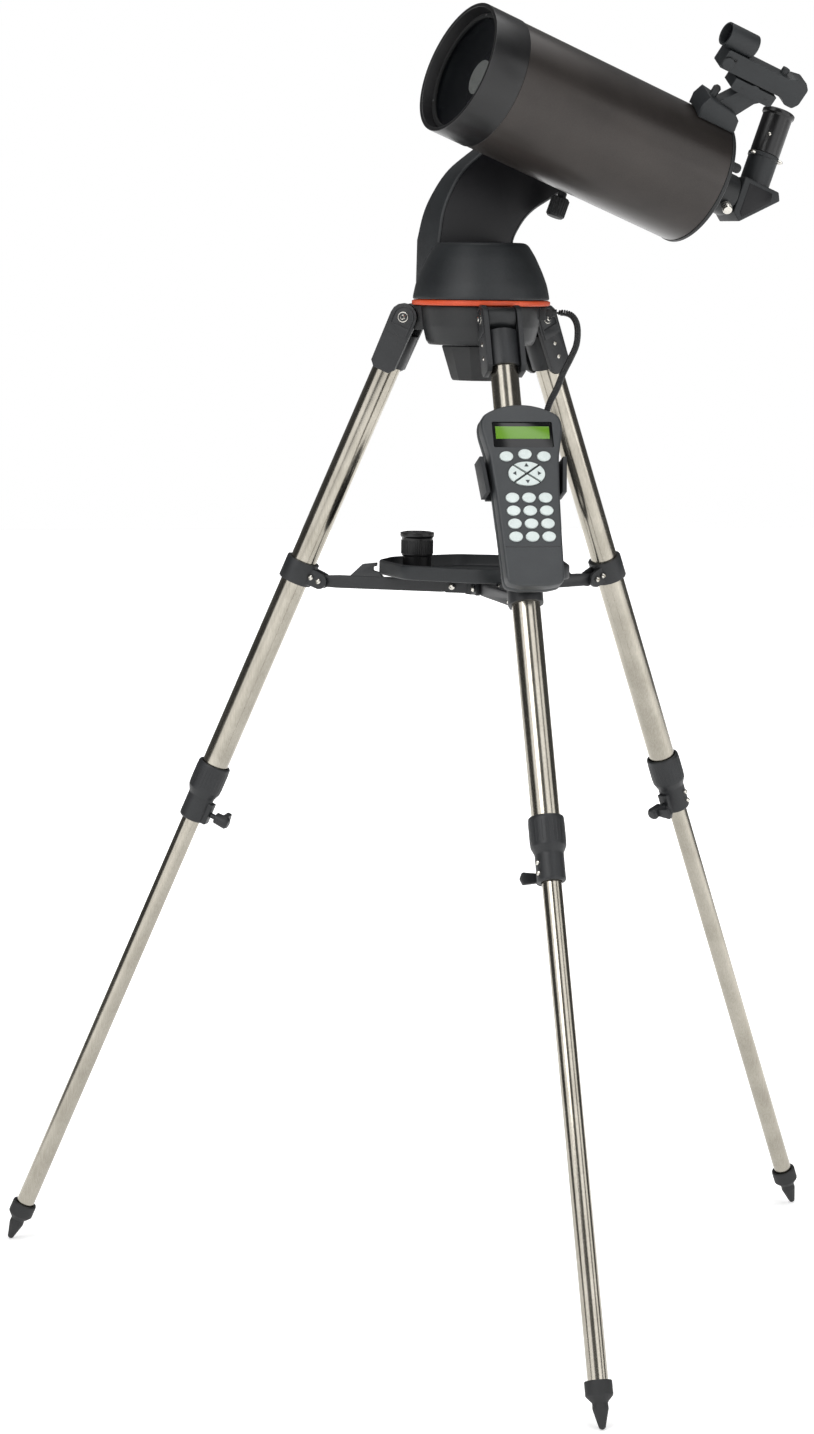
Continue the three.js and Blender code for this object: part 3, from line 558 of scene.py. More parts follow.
# The coil's middle line from the port to the back of the hand controller, in the tripod's frame, mm. It is laid
# along the line of the cord's solid in the frame.
ROUTE = [(81.9, -20.4, 1099), (89, -22.5, 1099.5), (96, -28, 1097), (99, -38, 1089.5), (97, -52, 1078.5),
         (91, -68, 1064.5), (80, -84, 1050), (68, -100, 1035.5), (56, -118, 1018.5), (45, -131, 1004),
         (36, -140.4, 982.7), (30, -149.8, 959.9), (27, -157.8, 942.9), (26, -165.8, 924.4), (26, -173.8, 905.9),
         (26, -181.8, 887.9), (26, -187.3, 875.4), (26, -192.3, 863.9), (25, -196.8, 857.4), (24, -203.1, 854.1),
         (24, -208.1, 855.1), (24, -212.1, 856.9)]


def resampled(points, count):
    """Points at even distances along a line."""
    steps = [0.0]
    for a, b in zip(points, points[1:]):
        steps.append(steps[-1] + (Vector(b) - Vector(a)).length)
    out, k = [], 0
    for i in range(count + 1):
        want = steps[-1] * i / count
        while k < len(points) - 2 and steps[k + 1] < want:
            k += 1
        share = (want - steps[k]) / max(steps[k + 1] - steps[k], 1e-9)
        out.append(Vector(points[k]).lerp(Vector(points[k + 1]), min(max(share, 0), 1)))
    return out, steps[-1]


def coiled_path():
    """The wire's line: a helix wound round the route, its two ends drawn in to the middle."""
    fine = through(ROUTE, 400)
    _, length = resampled(fine, 10)
    turns = round(length / COIL_PITCH)
    line, _ = resampled(fine, turns * TURN_STEPS)
    across = Vector((0, 0, 1)).cross(line[1] - line[0]).normalized()
    out = []
    for i, point in enumerate(line):
        ahead = (line[min(i + 1, len(line) - 1)] - line[max(i - 1, 0)]).normalized()
        across = (across - ahead * across.dot(ahead)).normalized()
        side = ahead.cross(across)
        drawn = min(1, i / DRAWN_STEPS, (len(line) - 1 - i) / DRAWN_STEPS)
        radius = (CORD_RADIUS - WIRE / 2) * drawn
        a = math.tau * i / TURN_STEPS
        out.append(TRIPOD @ (point + across * radius * math.cos(a) + side * radius * math.sin(a)))
    return out


def tube_mesh(path, radius, sides=7):
    """A closed tube along a path, with frames that turn as little as they can."""
    bm = bmesh.new()
    across = (path[1] - path[0]).orthogonal().normalized()
    rings = []
    for i, point in enumerate(path):
        ahead = (path[min(i + 1, len(path) - 1)] - path[max(i - 1, 0)]).normalized()
        across = (across - ahead * across.dot(ahead)).normalized()
        side = ahead.cross(across)
        rings.append([bm.verts.new(point + radius * (across * math.cos(math.tau * j / sides)
                                                     + side * math.sin(math.tau * j / sides)))
                      for j in range(sides)])
    for low, high in zip(rings, rings[1:]):
        for j in range(sides):
            bm.faces.new((low[j], low[(j + 1) % sides], high[(j + 1) % sides], high[j]))
    bm.faces.new(rings[0][::-1])
    bm.faces.new(rings[-1])
    return from_bmesh(bm)


def make_cord():
    path = coiled_path()
    cord = tube_mesh(path, WIRE / 2 * MM)
    cord.name = cord.data.name = "coiled_cord"
    cord.data.materials.append(cord_jacket)
    cord.data.polygons.foreach_set("use_smooth", [True] * len(cord.data.polygons))
    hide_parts("handset_cord")
    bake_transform(cord)
    plug = kept_shape("moulded_cord_plug", "cord_plug", 0.8, "tripod", rubber)


make_cord()


# ---------------------------------------------------------------- legs
TUBE_RADIUS, LOWER_RADIUS = 15.15, 10.5
LOWER_TOP, LOWER_END = -540, -1154
CLIP, CLAMP_SCREW = -313, -617  # along the leg from its hinge, mm


def fork_rims():
    """The raised arch moulded round each end of the hinge bolt, with the pad below it."""
    def arch(radius, low):
        return [*arc(0, 0, radius, 0, 180, 20), (-radius, low), (radius, low)]

    place = turn(90, "Z") @ UPRIGHT
    rims = [softened(cut(prism(arch(12.6, -21), low, high, place), prism(arch(10.6, -10), low - 1, high + 1, place)),
                     0.35, 2) for low, high in ((21.2, 22.4), (-22.4, -21.2))]
    return merged(rims[0], rims[1:])


def make_leg(k, name):
    place, body = LEG[k], f"{name}_leg"
    upper = lathe([(13.8, -600), (TUBE_RADIUS, -600), (TUBE_RADIUS, -20), (13.8, -20), (13.8, -600)], 0.4, 96)
    piece(f"{name}_leg_tube", upper, place, body, polished_steel, [f"{name}_upper_tube"])
    kept_shape(f"{name}_leg_fork", f"{name}_hinge_bracket", 1.2, body, fitting_nylon)
    screws(f"{name}_hinge_bolts", [((22.2, 0, 0), (1, 0, 0)), ((-22.2, 0, 0), (-1, 0, 0))], place, body, head=3.9,
           height=1.7)
    washer = eased([(3, 0), (5.9, 0), (5.9, 0.9), (3, 0.9), (3, 0)], 0.25)
    washers = merged(turned(washer, 40, move(21.5, 0, 0) @ ALONG_X), [turned(washer, 40, move(-22.4, 0, 0) @ ALONG_X)])
    piece(f"{name}_hinge_washers", washers, place, body, nickel)
    piece(f"{name}_fork_rims", fork_rims(), place, body, fitting_nylon)
    screws(f"{name}_fork_screws", [((-21.6, 0, -30), (-1, 0, 0)), ((-21.6, 0, -46), (-1, 0, 0))], place, body,
           head=2.3, height=0.9)
    sleeve = lathe([(15.5, -560), (18, -560), (19, -562), (19, -592), (15.4, -600), (15.4, -628), (14.2, -630),
                   (10.9, -630), (10.9, -600.4), (15.5, -600.4), (15.5, -560)], 1.2, 80)
    boss = softened(block((-7, 9, -629.5), (7, 19, -604)), 1.6)
    collar = cut(merged(sleeve, [boss]), rod(3.4, 0, 30, 32, move(0, 0, CLAMP_SCREW) @ ALONG_Y))
    cut(collar, rod(LOWER_RADIUS + 0.4, -640, -590, 64))
    piece(f"{name}_clamp_sleeve", collar, place, body, fitting_nylon, [f"{name}_clamp_collar"])
    ribs(f"{name}_clamp_ribs", place @ move(0, 0, -577), body, fitting_nylon, 30, 18.7, 0.55, 22)
    screws(f"{name}_clamp_screws", [((-15, -6, -610), (-0.93, -0.37, 0)), ((-15, -6, -621), (-0.93, -0.37, 0))], place,
           body, head=2.8, height=1.4)
    kept_shape(f"{name}_tray_clip", f"{name}_spreader_collar", 0.9, body, fitting_nylon)
    screws(f"{name}_clip_bolts", [((side * 10.6, y, CLIP), (side, 0, 0)) for side in (1, -1) for y in (18.5, 28.4)],
           place, body, head=2.9, height=1.5)

    stem = lathe([(0, 12.5), (3, 12.5), (3, 26), (6.5, 26), (7.4, 40), (5, 43), (0, 43)], 0.8, 48)
    wing = softened(prism([(4, -4), (4, 4), (-22, 6.9), (-25, 0), (-22, -6.9)][::-1], 31, 37), 1.4)
    knob = merged(stem, [wing])
    piece(f"{name}_clamp_lever", knob, place @ move(0, 0, CLAMP_SCREW) @ ALONG_Y, f"{name}_clamp_knob", fitting_nylon,
          [f"{name}_clamp_knob"])

    lower = lathe([(9.4, LOWER_END), (LOWER_RADIUS, LOWER_END), (LOWER_RADIUS, LOWER_TOP), (9.4, LOWER_TOP),
                  (9.4, LOWER_END)], 0.4, 80)
    piece(f"{name}_extension_tube", lower, place, f"{name}_lower_leg", polished_steel, [f"{name}_lower_tube"])
    tip = arc(0, -FOOT_TIP, 3.9, 0, -90, 6)
    shoe = lathe([(0, -1154.3), (10.8, -1154.3), (10.8, -1144), (13.6, -1144), (14.2, -1145), (14.2, -1159),
                 (8, -1166), (8.3, -1172), *tip[:-1], (0, -FOOT_TIP - 3.9)], 1.0, 64)
    piece(f"{name}_rubber_foot", shoe, place, f"{name}_lower_leg", rubber, [f"{name}_foot"])
    kept_shape(f"{name}_spreader_arm", f"{name}_strut", 0.8, f"{name}_strut", fitting_nylon)


for number, leg_name in enumerate(LEGS):
    make_leg(number, leg_name)


# ---------------------------------------------------------------- spreader, tray and spare eyepiece
HUB_HEIGHT = 794.5
TRAY_FLOOR, TRAY_TOP = 807, 823
HOLE_CIRCLE = 70  # centres of the tray's holes, mm


def tray_outline(cut_in=0.0):
    out = []
    for k in range(3):
        a = math.radians(120 * k - 90)
        for x, y in ((108, -26), (108, 26), (82, 62), (58, 92)):
            out.append((x * math.cos(a) - y * math.sin(a), x * math.sin(a) + y * math.cos(a)))
    out = inset(out, cut_in) if cut_in else out
    return eased([*out, out[0]], 12, 6)


def make_tray():
    tray = softened(prism(tray_outline(), TRAY_FLOOR, TRAY_TOP), 2.2, 3)
    well = softened(prism(tray_outline(3.2), TRAY_FLOOR + 3, TRAY_TOP + 8), 2.0, 3)
    holes = [rod(16.6, TRAY_FLOOR - 5, TRAY_TOP, 64, turn(120 * k, "Z") @ move(0, -HOLE_CIRCLE, 0)) for k in range(3)]
    cut(tray, well, *holes)
    lips = [lathe([(16.7, 806.9), (19, 806.9), (19, 811.5), (16.7, 811.5), (16.7, 806.9)], 0.5, 64,
           turn(120 * k, "Z") @ move(0, -HOLE_CIRCLE, 0.2)) for k in range(3)]
    piece("moulded_tray", merged(tray, lips), TRIPOD, "spreader", moulded_abs, ["accessory_tray"])
    kept_shape("spreader_boss", "spreader_hub", 0.9, "spreader", fitting_nylon)
    spots = [(spin @ Vector((side * 10.2, -26, HUB_HEIGHT)), spin @ Vector((side, 0, 0)))
             for spin in (turn(120 * k, "Z") for k in range(3)) for side in (-1, 1)]
    screws("spreader_bolts", spots, TRIPOD, "spreader", head=3.6, height=2)


def eyepiece_body(low):
    """A spare eyepiece standing in the tray, its barrel down."""
    return lathe([(0, low), (15.6, low), (15.9, low + 1), (15.9, low + 22.6), (17.4, low + 24), (17.4, low + 43),
                 (19, low + 45), (19, low + 49), (15, low + 50), (12, low + 47), (0, low + 47)], 0.5, 80)


make_tray()
spare = TRIPOD @ move(-HOLE_CIRCLE * math.sin(math.radians(60)), HOLE_CIRCLE * math.cos(math.radians(60)), 0)
piece("spare_eyepiece_barrel", eyepiece_body(TRAY_FLOOR - 3), spare, "spare_eyepiece", anodised, ["spare_eyepiece"])
piece("spare_eye_lens", lathe([(0, 850.6), (11, 850.6), (11, 852), (6, 853), (0, 853.3)], 0.3, 48), spare,
      "spare_eyepiece", lens_glass)
ribs("spare_eyepiece_grip", spare @ move(0, 0, 837), "spare_eyepiece", rubber, 48, 17.5, 0.6, 15)


# ---------------------------------------------------------------- tripod head and base ring
HEAD_BOTTOM, HEAD_TOP = 1063, 1106.2
RING_BOTTOM, RING_TOP = 1106.5, 1112.5
RING_EDGE = 1107.2, 1111.6  # lower and upper edge of its band


def make_head():
    bowl = lathe([(6, HEAD_BOTTOM), (57, HEAD_BOTTOM), (60.5, 1068), (64, 1083), (66, 1102), (66, HEAD_TOP),
                 (62, HEAD_TOP), (60, 1083), (56, 1071), (14, 1071), (14, 1105.2), (6, 1105.2),
                 (6, HEAD_BOTTOM)], 1.6, 128)
    lugs = []
    for k in range(3):
        spin = turn(120 * k, "Z")
        outline = [(-61, HINGE_HEIGHT - 13.5), *arc(-HINGE_RADIUS, HINGE_HEIGHT, 13.5, 270, 90, 14),
                   (-61, HINGE_HEIGHT + 13.5)]
        lug = softened(upright(outline[::-1], -15.5, 15.5), 1.2)
        lug.data.transform(spin @ turn(90, "Z"))
        bore = rod(3.6, -30, 30, 32, spin @ move(0, -HINGE_RADIUS, HINGE_HEIGHT) @ ALONG_X)
        lugs.append(cut(lug, bore))
    port = softened(block((61, -9, 1091), (72, 9, HEAD_TOP)), 1.2)
    port.data.transform(turn(PORT_TURN, "Z"))
    socket = block((66, -6.5, PORT_HEIGHT - 4.5), (80, 6.5, PORT_HEIGHT + 4.5))
    socket.data.transform(turn(PORT_TURN, "Z"))
    return cut(merged(bowl, [*lugs, port]), socket)


piece("tripod_head_casting", make_head(), TRIPOD, "tripod", powder_coat, ["tripod_head"], slot="aluminium_head")
kept_shape("centre_bolt_grip", "mounting_knob", 1.0, "mounting_knob", rubber, slot="black_housing", crease=20)
base_ring = lathe([(9, RING_BOTTOM), (74.6, RING_BOTTOM), (74.8, RING_EDGE[0]), (76.5, RING_EDGE[0]),
                  (76.5, RING_EDGE[1]), (74.8, RING_EDGE[1]), (74.6, RING_TOP), (9, RING_TOP),
                  (9, RING_BOTTOM)], 0.8, 160)
piece("orange_base_ring", base_ring, TRIPOD, "tripod", orange_plastic, ["base_ring"])


# ---------------------------------------------------------------- mount: dome, arm, drives
ARM_INNER, ARM_BACK, ARM_TAPER = 25, 80, 12
DOME_TOP = 1175.6


def arm_outline():
    """The curved arm from the dome's floor up to the round altitude head, (x, z), anticlockwise."""
    outer = through([(88, 1322), (45, 1299), (4.2, 1270), (-15.7, 1251.5), (-29.9, 1227.5), (-37.7, 1205.6),
                     (-41.6, 1178)], 26)
    inner = through([(54.2, 1178), (58.2, 1187), (68.3, 1201.8), (80.8, 1213.1), (96.6, 1222.5)], 16)
    return [*arc(*ALTITUDE, 46, -95, 108, 40), *outer, (-42.5, 1113.6), (53, 1113.6), *inner]


def make_arm():
    shell = upright(arm_outline(), ARM_INNER, ARM_BACK)
    lean = math.tan(math.radians(ARM_TAPER))
    for v in shell.data.vertices:
        v.co.y = min(v.co.y, ARM_BACK - max(0, v.co.z - DOME_TOP) * lean)
    shell = softened(shell, 4.5, 6)
    recess = upright(inset(arm_outline(), 3), ARM_INNER - 5, ARM_INNER + 1.6)
    piece("arm_casing", cut(shell, recess), MOUNT, "mount_head", moulded_abs, ["arm_shell"], crease=40)
    panel = softened(upright(inset(arm_outline(), 3.5), ARM_INNER + 0.3, ARM_INNER + 1.9), 0.6)
    cut(panel, rod(31, 0, 60, 96, move(ALTITUDE[0], 0, ALTITUDE[1]) @ ALONG_Y))
    piece("arm_inner_panel", panel, MOUNT, "mount_head", polished_abs_and_painted_shade, ["arm_cover"])


dome = turned(eased([(0, 1172), (45, 1172), (56, 1160), (64, 1143), (69.3, 1129), (72.5, 1113), (76, 1113),
                     (72.8, 1129), (67.5, 1143), (59.6, 1160), (51.5, 1173.1), (46, DOME_TOP), (0, DOME_TOP)],
                    5, 6), 160)
piece("dome_cover", dome, MOUNT, "mount_head", moulded_abs, ["dome_housing"], crease=50)
make_arm()
kept_shape("saddle_casting", "altitude_saddle", 0.9, "saddle", powder_coat)
grip = lathe([(0, -86), (8.6, -86), (9.8, -84.5), (9.8, -64.5), (8.6, -63), (5, -63), (5, -57), (3.8, -57),
             (3.8, -24), (0, -24)], 0.5, 64)
piece("saddle_clamp_grip", grip, TUBE @ move(-5, 0, 0), "saddle_knob", rubber, ["saddle_knob"])
ribs("saddle_clamp_ribs", TUBE @ move(-5, 0, -74.5), "saddle_knob", rubber, 22, 9.8, 0.9, 19)
for drive, metal in (("gear", brass), ("motor", zinc)):
    for axis in ("azimuth", "altitude"):
        for socket in frame["nodes"][f"{axis}_{drive}"].material_slots:
            socket.material = metal


# ---------------------------------------------------------------- optical tube
BARREL = 72.5
FRONT, CELL_END, REAR = -217, -173, 103
SEAT = FRONT + 14  # where the corrector's edge rests


def make_tube():
    skin = lathe([(71, CELL_END + 0.4), (BARREL, CELL_END + 0.4), (BARREL, REAR - 5.3), (71, REAR - 5.3),
                 (71, CELL_END + 0.4)], 0.3, 192)
    piece("enamelled_tube", skin, AXIS, "optical_tube", tube_enamel, ["optical_tube"])
    lining = turned([(70.6, CELL_END + 9), (70.9, CELL_END + 9), (70.9, REAR - 9), (70.6, REAR - 9),
                     (70.6, CELL_END + 9)], 96)
    piece("blackened_lining", lining, AXIS, "optical_tube", flock)
    cell = lathe([(73.4, FRONT), (73.4, CELL_END), (70.6, CELL_END), (70.6, CELL_END + 8), (65, CELL_END + 8),
                 (65, SEAT), (67.3, SEAT - 1), (69, FRONT), (73.4, FRONT)], 0.8, 192)
    piece("front_cell_ring", cell, AXIS, "optical_tube", anodised, ["front_cell"])
    retainer = lathe([(62, SEAT - 2.4), (67, SEAT - 2.4), (67, SEAT + 0.3), (62, SEAT + 0.3),
                     (62, SEAT - 2.4)], 0.5, 128)
    piece("corrector_retainer", retainer, AXIS, "optical_tube", flock)
    spots = [(Vector((64.6 * math.cos(a), 64.6 * math.sin(a), SEAT - 2.3)), (0, 0, -1))
             for a in (math.tau * (i + 0.5) / 3 for i in range(3))]
    screws("retainer_screws", spots, AXIS, "optical_tube", 1.6, 0.8, anodised)


def meniscus(radius, low, thick, sag, steps=14):
    """A deeply curved lens, hollow towards the front: (radius, z) from its front face round to its back."""
    face = [(radius * i / steps, sag * (1 - (i / steps) ** 2)) for i in range(steps + 1)]
    return [(r, low + z) for r, z in face] + [(r, low + thick + z) for r, z in face[::-1]]


def make_optics():
    corrector = turned(meniscus(64.3, SEAT + 1, 7, 6), 128)
    piece("meniscus_corrector", corrector, AXIS, "optical_tube", lens_glass, ["corrector_lens"])
    spot = turned([(0, SEAT + 14.2), (10, SEAT + 14.1), (19.5, SEAT + 13.6), (19.5, SEAT + 14), (0, SEAT + 14.6)], 96)
    piece("secondary_spot", spot, AXIS, "optical_tube", satin_aluminium)
    primary = lathe([(18.5, 60), (40, 58.8), (64, 56.4), (64, 68), (44, 73), (18.5, 73), (18.5, 60)], 0.4, 128)
    piece("primary_mirror_glass", primary, AXIS, "primary_mirror", mirror, ["primary_mirror"])
    rear = lathe([(15, -58), (16.6, -58), (16.6, 95), (70.6, 95), (70.6, 98), (73.2, 98), (73.2, 102), (70, 104),
                 (15, 104), (15, -58)], 0.7, 160)
    cut(rear, rod(3.4, 80, 120, 32, move(0, -45, 0) @ move(-21, 0, 0)))
    piece("rear_cell_casting", rear, AXIS, "optical_tube", powder_coat, ["rear_cell"])
    kept_shape("dovetail_rail", "dovetail_bar", 0.8, "optical_tube", powder_coat)
    knob = lathe([(0, 99), (3, 99), (3, 107), (5, 107), (5, 123.5), (4, 124.8), (0, 124.8)], 0.6, 48)
    focus = OPTICS @ move(0, -45, 21)
    piece("focus_grip", knob, focus @ ALONG_X, "focus_knob", rubber, ["focus_knob"])
    ribs("focus_grip_ribs", focus @ move(115.5, 0, 0) @ ALONG_X, "focus_knob", rubber, 16, 4.9, 0.5, 14)


SCREW_BEARING = -54  # of the thumb screw round the visual back, degrees
EYEPIECE_AT = 174  # the eyepiece's axis along the tube, mm


def make_eyepiece_end():
    around = move(EYEPIECE_AT, 0, 0)
    back = lathe([(16.2, 104.4), (22.5, 104.4), (24, 108.4), (24, 146.4), (22.5, 148.3), (16.2, 148.3),
                 (16.2, 104.4)], 1.0, 96)
    aim_out = move(0, 0, 136.35) @ turn(SCREW_BEARING, "Z") @ ALONG_X
    cut(back, rod(3.2, 10, 40, 32, aim_out))
    piece("visual_back_ring", back, AXIS, "optical_tube", powder_coat, ["visual_back"])
    ribs("visual_back_knurl", OPTICS @ move(113, 0, 0) @ ALONG_X, "optical_tube", powder_coat, 60, 23.7, 0.6, 7)
    screw = lathe([(0, 17.2), (2.8, 17.2), (2.8, 26), (5, 26), (5.4, 27), (5.4, 36.8), (4.6, 38), (0, 38)],
                 0.5, 48)
    piece("chrome_thumb_screw", screw, AXIS @ aim_out, "diagonal_screw", nickel, ["diagonal_screw"])
    ribs("thumb_screw_knurl", AXIS @ aim_out @ move(0, 0, 31.8), "diagonal_screw", nickel, 24, 5.2, 0.38,
         8.6)

    outline = [(149, -18), (150, -19), (160, -25.8), (200.8, 14.6), (196, 23.3), (149, 23.3)]
    box = softened(upright(outline, -21, 21), 1.6, 4)
    nose = lathe([(12.9, 115), (15.8, 115), (15.8, 152), (12.9, 152), (12.9, 115)], 0.4, 80, ALONG_X)
    holder = lathe([(0, 15), (17, 15), (17, 54), (18, 54.6), (18, 58.8), (0, 58.8)], 0.5, 80, around)
    diagonal = cut(merged(box, [nose, holder]), rod(13, 110, 160, 64, ALONG_X), rod(13, 0, 40, 64, around),
                   rod(15.9, 30, 70, 80, around))
    piece("star_diagonal_housing", diagonal, OPTICS, "star_diagonal", moulded_abs, ["star_diagonal"],
          slot="black_metal")
    side = softened(upright([(157, -16.5), (161, -20), (190, 9), (188, 18.5), (157, 18.5)], -21.5, -20.8), 0.3, 2)
    piece("diagonal_side_plate", side, OPTICS, "star_diagonal", polished_abs_and_painted_shade, slot="black_metal")
    spots = [(Vector((EYEPIECE_AT + 17.6 * math.cos(a), 17.6 * math.sin(a), 56)), Vector((math.cos(a), math.sin(a), 0)))
             for a in (math.radians(d) for d in (-160, -40, 80))]
    screws("eyepiece_lock_screws", spots, OPTICS, "star_diagonal", 2.6, 3.2)
    body = lathe([(14, 31.2), (15.5, 31.2), (15.5, 59.4), (16.8, 59.4), (16.8, 104), (18.5, 106), (18.5, 110),
                 (16.5, 111.4), (12, 108), (12, 100), (14, 98), (14, 31.2)], 0.6, 96)
    piece("eyepiece_barrel", body, OPTICS @ around, "eyepiece", anodised, ["eyepiece"])
    eye_lens = lathe([(0, 99), (12, 100), (12, 102), (7, 103.4), (0, 104)], 0.3, 64)
    piece("eye_lens", eye_lens, OPTICS @ around, "eyepiece", lens_glass)
    screws("eyepiece_grub_screw", [(Vector((EYEPIECE_AT - 10, -13.4, 80)), Vector((-0.6, -0.8, 0)))], OPTICS,
           "eyepiece", 1.7, 0.6)


def make_finder():
    kept_shape("finder_foot", "finder_bracket", 0.9, "optical_tube", moulded_abs)
    outline = [(43, 128.6), (130, 128.6), (136, 123), (147, 123), (152, 130), (152, 149), (145, 156), (131, 154),
               (127, 151), (43, 151)]
    beam = softened(upright(eased([*outline, outline[0]], 2.2, 3), -11, 11), 1.6, 4)
    ring = lathe([(11.2, 33.2), (13.3, 33.2), (13.3, 70.8), (11.2, 70.8), (11.2, 33.2)], 0.7, 80,
          move(0, 0, 162.5) @ ALONG_X)
    knob = rod(4.4, 0, 9, 40, move(120, 0, 149))
    dial = rod(6.9, -13.8, -9, 48, move(49, 0, 137) @ ALONG_Y)
    piece("finder_housing", merged(beam, [ring, knob, dial]), FINDER, "finder_body", moulded_abs, ["finder_body"])
    window = lathe([(0, 40), (11.3, 40), (11.3, 41.6), (0, 41.6)], 0.2, 64, move(0, 0, 162.5) @ ALONG_X)
    piece("finder_window", window, FINDER, "finder_body", lens_glass)
    screws("finder_screws", [((x, -11, z), (0, -1, 0)) for x, z in ((80, 120), (112, 120), (56, 143))], FINDER,
           "optical_tube", 1.8, 0.8, anodised, slot="stainless_steel")
    screws("finder_clamp_screw", [((62, 2, 103), (0, 0, 1))], FINDER, "optical_tube", 4.6, 2.5, rubber)
    ribs("finder_side_dial_ribs", FINDER @ move(49, -11.4, 137) @ ALONG_Y, "finder_body", rubber, 24, 6.7, 0.45, 4)


make_tube()
make_optics()
make_eyepiece_end()
make_finder()


# ---------------------------------------------------------------- hand controller
BACK, SPLIT, FACE = -24, -33, -50
KEY_ROWS = (-207, -221.5, -236, -250.5)
ARROWS = (0, -180)
HAND = LEG[0] @ move(0, 0, -17)


def handset_outline():
    half = [*arc(0, -178, 77, 62, 90, 16)[::-1], (42, -114), (44.5, -122), (44, -132), (38, -160), (35, -200),
            (33, -250), (31.5, -296), (29, -301.5), (15, -304.5)]
    whole = half + [(-x, z) for x, z in half[:0:-1]]
    return eased([*whole[::-1], whole[-1]], 4, 3)[:-1]


def oval(x, z, rx, rz, count=40):
    return [(x + rx * math.cos(math.tau * i / count), z + rz * math.sin(math.tau * i / count)) for i in range(count)]


def key_spots():
    menu = [(x, -160.5 if x else -158) for x in (-20.5, 0, 20.5)]
    return menu + [(x, z) for z in KEY_ROWS for x in (-18, 0, 18)]


def make_handset():
    outline = handset_outline()
    front = softened(upright(outline, FACE, SPLIT - 0.4), 3.2, 5)
    cut(front, upright(inset(outline, 3), FACE + 4, SPLIT + 5),
        softened(upright([(-33, -150), (33, -150), (33, -121), (-33, -121)], FACE - 5, FACE + 10), 1.5, 3))
    for x, z in key_spots():
        cut(front, upright(oval(x, z, 7.7, 5.9), FACE - 5, FACE + 10))
    cut(front, upright(oval(*ARROWS, 20.6, 14.1, 64), FACE - 5, FACE + 1.4))
    piece("handset_face", front, HAND, "front_leg", charcoal_abs, ["handset_front"])
    back = softened(upright(outline, SPLIT, BACK), 3.2, 5)
    piece("handset_rear_shell", cut(back, upright(inset(outline, 3), SPLIT - 5, BACK - 3)), HAND, "front_leg",
          charcoal_abs, ["handset_back"])
    panel = softened(upright([(-32.6, -149.6), (32.6, -149.6), (32.6, -121.4), (-32.6, -121.4)], FACE + 1.2,
                             FACE + 3.6), 0.5, 2)
    piece("display_bezel", panel, HAND, "front_leg", acrylic, ["handset_display"])
    screen = softened(upright([(-29.5, -140), (29.5, -140), (29.5, -126), (-29.5, -126)], FACE + 0.7,
                              FACE + 1.4), 0.25, 2)
    piece("display_screen", screen, HAND, "front_leg", display_glow)
    seam = softened(upright([(-30, -262), (30, -262), (30, -261), (-30, -261)], FACE - 0.25, FACE + 0.5), 0.12, 1)
    piece("handset_lower_line", seam, HAND, "front_leg", acrylic, slot="handset_plastic")

    mat = upright([(-28, -259), (28, -259), (31, -152), (-31, -152)], FACE + 4.4, FACE + 5.6)
    keys = [softened(upright(oval(x, z, 7.3, 5.5), FACE - 2, FACE + 5), 1.0, 3) for x, z in key_spots()]
    merged(mat, keys)
    cut(mat, upright(oval(*ARROWS, 21.5, 15, 64), FACE - 5, FACE + 10))
    piece("silicone_keys", mat, HAND, "keypad", silicone, ["keypad"])

    pad = softened(upright(oval(*ARROWS, 19.9, 13.4, 72), FACE - 2, FACE + 5), 0.9, 3)
    for angle in (34, -34):
        groove = block((-30, FACE - 4, -1.15), (30, FACE + 9, 1.15))
        groove.data.transform(move(0, 0, ARROWS[1]) @ turn(angle, "Y"))
        cut(pad, groove)
    piece("arrow_pad", pad, HAND, "arrow_keys", silicone, ["arrow_keys"])
    marks = []
    for angle, reach in ((0, 9.2), (90, 13.4), (180, 9.2), (270, 13.4)):
        wedge = upright([(-2.4, -1.6), (2.4, -1.6), (0, 2.2)], FACE - 2.25, FACE - 1.6)
        wedge.data.transform(move(0, 0, ARROWS[1]) @ turn(angle, "Y") @ move(0, 0, reach))
        marks.append(wedge)
    piece("arrow_marks", merged(marks[0], marks[1:]), HAND, "arrow_keys", dark_print)
    kept_shape("handset_cradle", "handset_holder", 0.9, "front_leg", moulded_abs)


make_handset()


# ---------------------------------------------------------------- floor and light
FLOOR_REACH, FLOOR_GAP = 12, 0.0006  # m


def make_stage():
    bm = bmesh.new()
    bmesh.ops.create_grid(bm, x_segments=1, y_segments=1, size=FLOOR_REACH)
    floor = from_bmesh(bm)
    floor.name = "floor"
    floor.data.transform(Matrix.Translation((0, 0, -FLOOR_GAP)))
    made, tree = new_material("matt_pale_studio_floor")
    place = node(tree, "ShaderNodeTexCoord")
    mottle = node(tree, "ShaderNodeTexNoise", {"Scale": 1.5}, {"Vector": place.outputs["Object"]})
    tone = node(tree, "ShaderNodeValToRGB", links={"Fac": mottle.outputs["Fac"]})
    tone.color_ramp.elements[0].color, tone.color_ramp.elements[1].color = linear("#f7f7f6"), linear("#fafaf9")
    distance = node(tree, "ShaderNodeVectorMath", links={0: place.outputs["Object"]}, operation="LENGTH")
    glow = node(tree, "ShaderNodeMapRange", {"From Min": 0.6, "From Max": 2.4, "To Min": 0.42, "To Max": 0.95},
                {"Value": distance.outputs["Value"]})
    finish_material(tree, {"Roughness": 0.9, "Emission Color": linear("#ffffff")},
                    {"Base Color": tone.outputs["Color"], "Emission Strength": glow.outputs["Result"]})
    floor.data.materials.append(made)


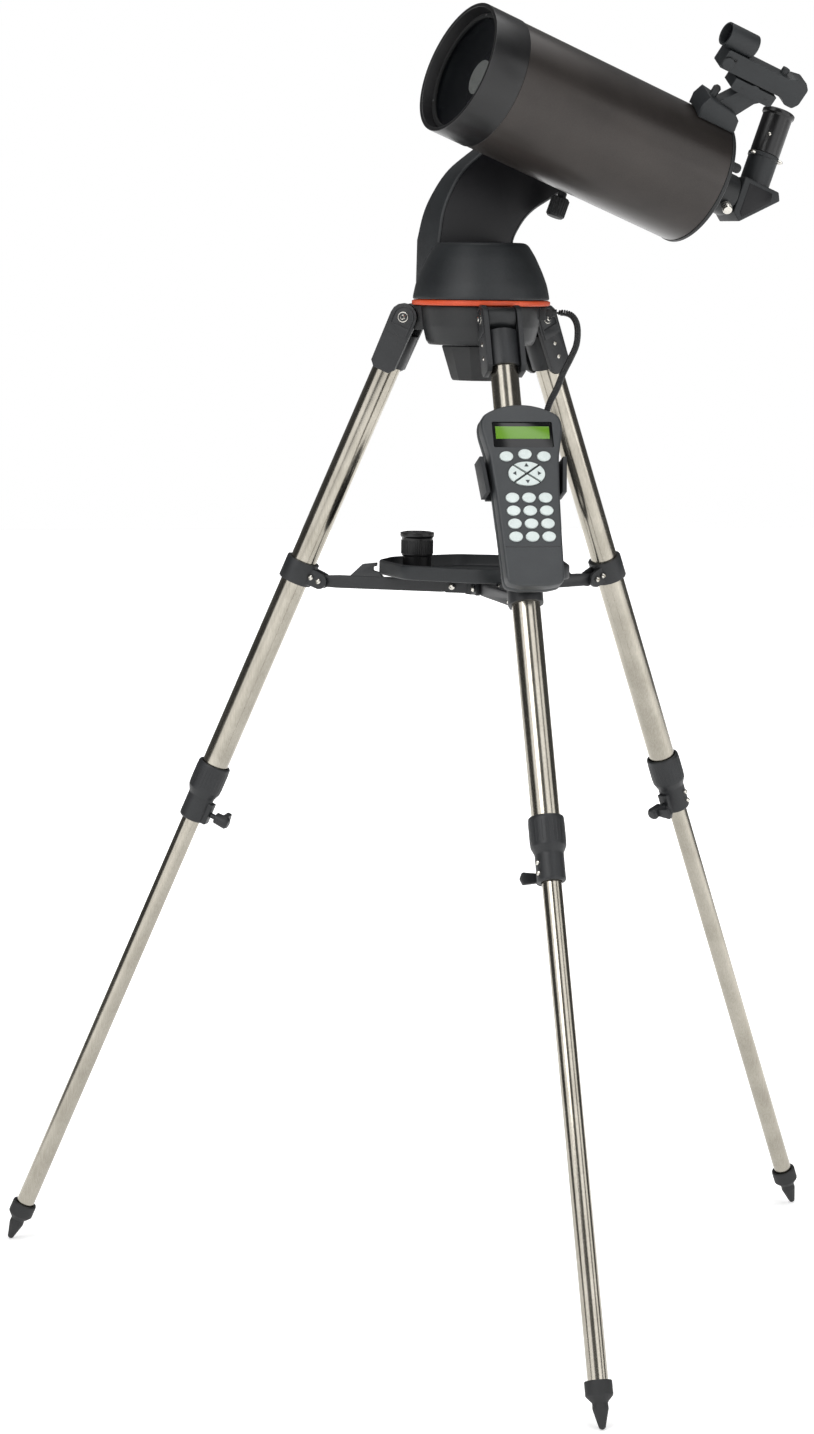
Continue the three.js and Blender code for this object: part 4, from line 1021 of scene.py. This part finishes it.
def make_world():
    """White to the eye; what the object reflects is a bright room with two darker stretches of wall."""
    world = bpy.data.worlds.new("studio")
    bpy.context.scene.world = world
    world.use_nodes = True
    tree = world.node_tree
    tree.nodes.clear()
    way = node(tree, "ShaderNodeTexCoord")
    parts = node(tree, "ShaderNodeSeparateXYZ", links={"Vector": way.outputs["Generated"]})
    bearing = node(tree, "ShaderNodeMath", links={0: parts.outputs["Y"], 1: parts.outputs["X"]}, operation="ARCTAN2")
    share = node(tree, "ShaderNodeMapRange", {"From Min": -math.pi, "From Max": math.pi},
                 {"Value": bearing.outputs[0]})
    walls = node(tree, "ShaderNodeValToRGB", links={"Fac": share.outputs["Result"]})
    ramp = walls.color_ramp
    for element in ramp.elements:
        element.color = (0.1, 0.1, 0.1, 1)
    for position, level in ((0.02, 0.1), (0.035, 2.2), (0.12, 2.2), (0.14, 0.24), (0.25, 0.2), (0.265, 2.4),
                            (0.345, 2.4), (0.375, 0.06), (0.5, 0.12), (0.75, 0.25), (0.93, 0.1)):
        ramp.elements.new(position).color = (level, level, level * 1.01, 1)
    height = node(tree, "ShaderNodeMapRange", {"From Min": -0.2, "From Max": 0.9, "To Min": 0.7, "To Max": 0.9},
                  {"Value": parts.outputs["Z"]})
    room = node(tree, "ShaderNodeBackground", links={"Color": walls.outputs["Color"],
                                                     "Strength": height.outputs["Result"]})
    plain = node(tree, "ShaderNodeBackground", {"Color": (1, 1, 1, 1), "Strength": 1.0})
    path = node(tree, "ShaderNodeLightPath")
    both = node(tree, "ShaderNodeMixShader", links={0: path.outputs["Is Camera Ray"], 1: room.outputs[0],
                                                    2: plain.outputs[0]})
    node(tree, "ShaderNodeOutputWorld", links={"Surface": both.outputs[0]})


def soft_light(name, place, target, size, power):
    lamp = bpy.data.lights.new(name, "AREA")
    lamp.shape, lamp.size, lamp.size_y, lamp.energy = "RECTANGLE", size[0], size[1], power
    made = bpy.data.objects.new(name, lamp)
    made.location = place
    made.rotation_mode = "QUATERNION"
    made.rotation_quaternion = (Vector(target) - Vector(place)).to_track_quat("-Z", "Y")
    bpy.context.scene.collection.objects.link(made)


make_stage()
make_world()
middle = (0, AXIS_Y, 0.9)
soft_light("key_box", (-2.2, -2.6, 2.9), middle, (1.6, 1.6), 42)
soft_light("top_box", (0.6, 0.2, 3.6), middle, (2.4, 2.4), 40)
soft_light("fill_box", (3.0, -1.8, 1.6), middle, (1.4, 2.2), 16)
view = bpy.context.scene.view_settings
view.view_transform, view.look = "Standard", "None"
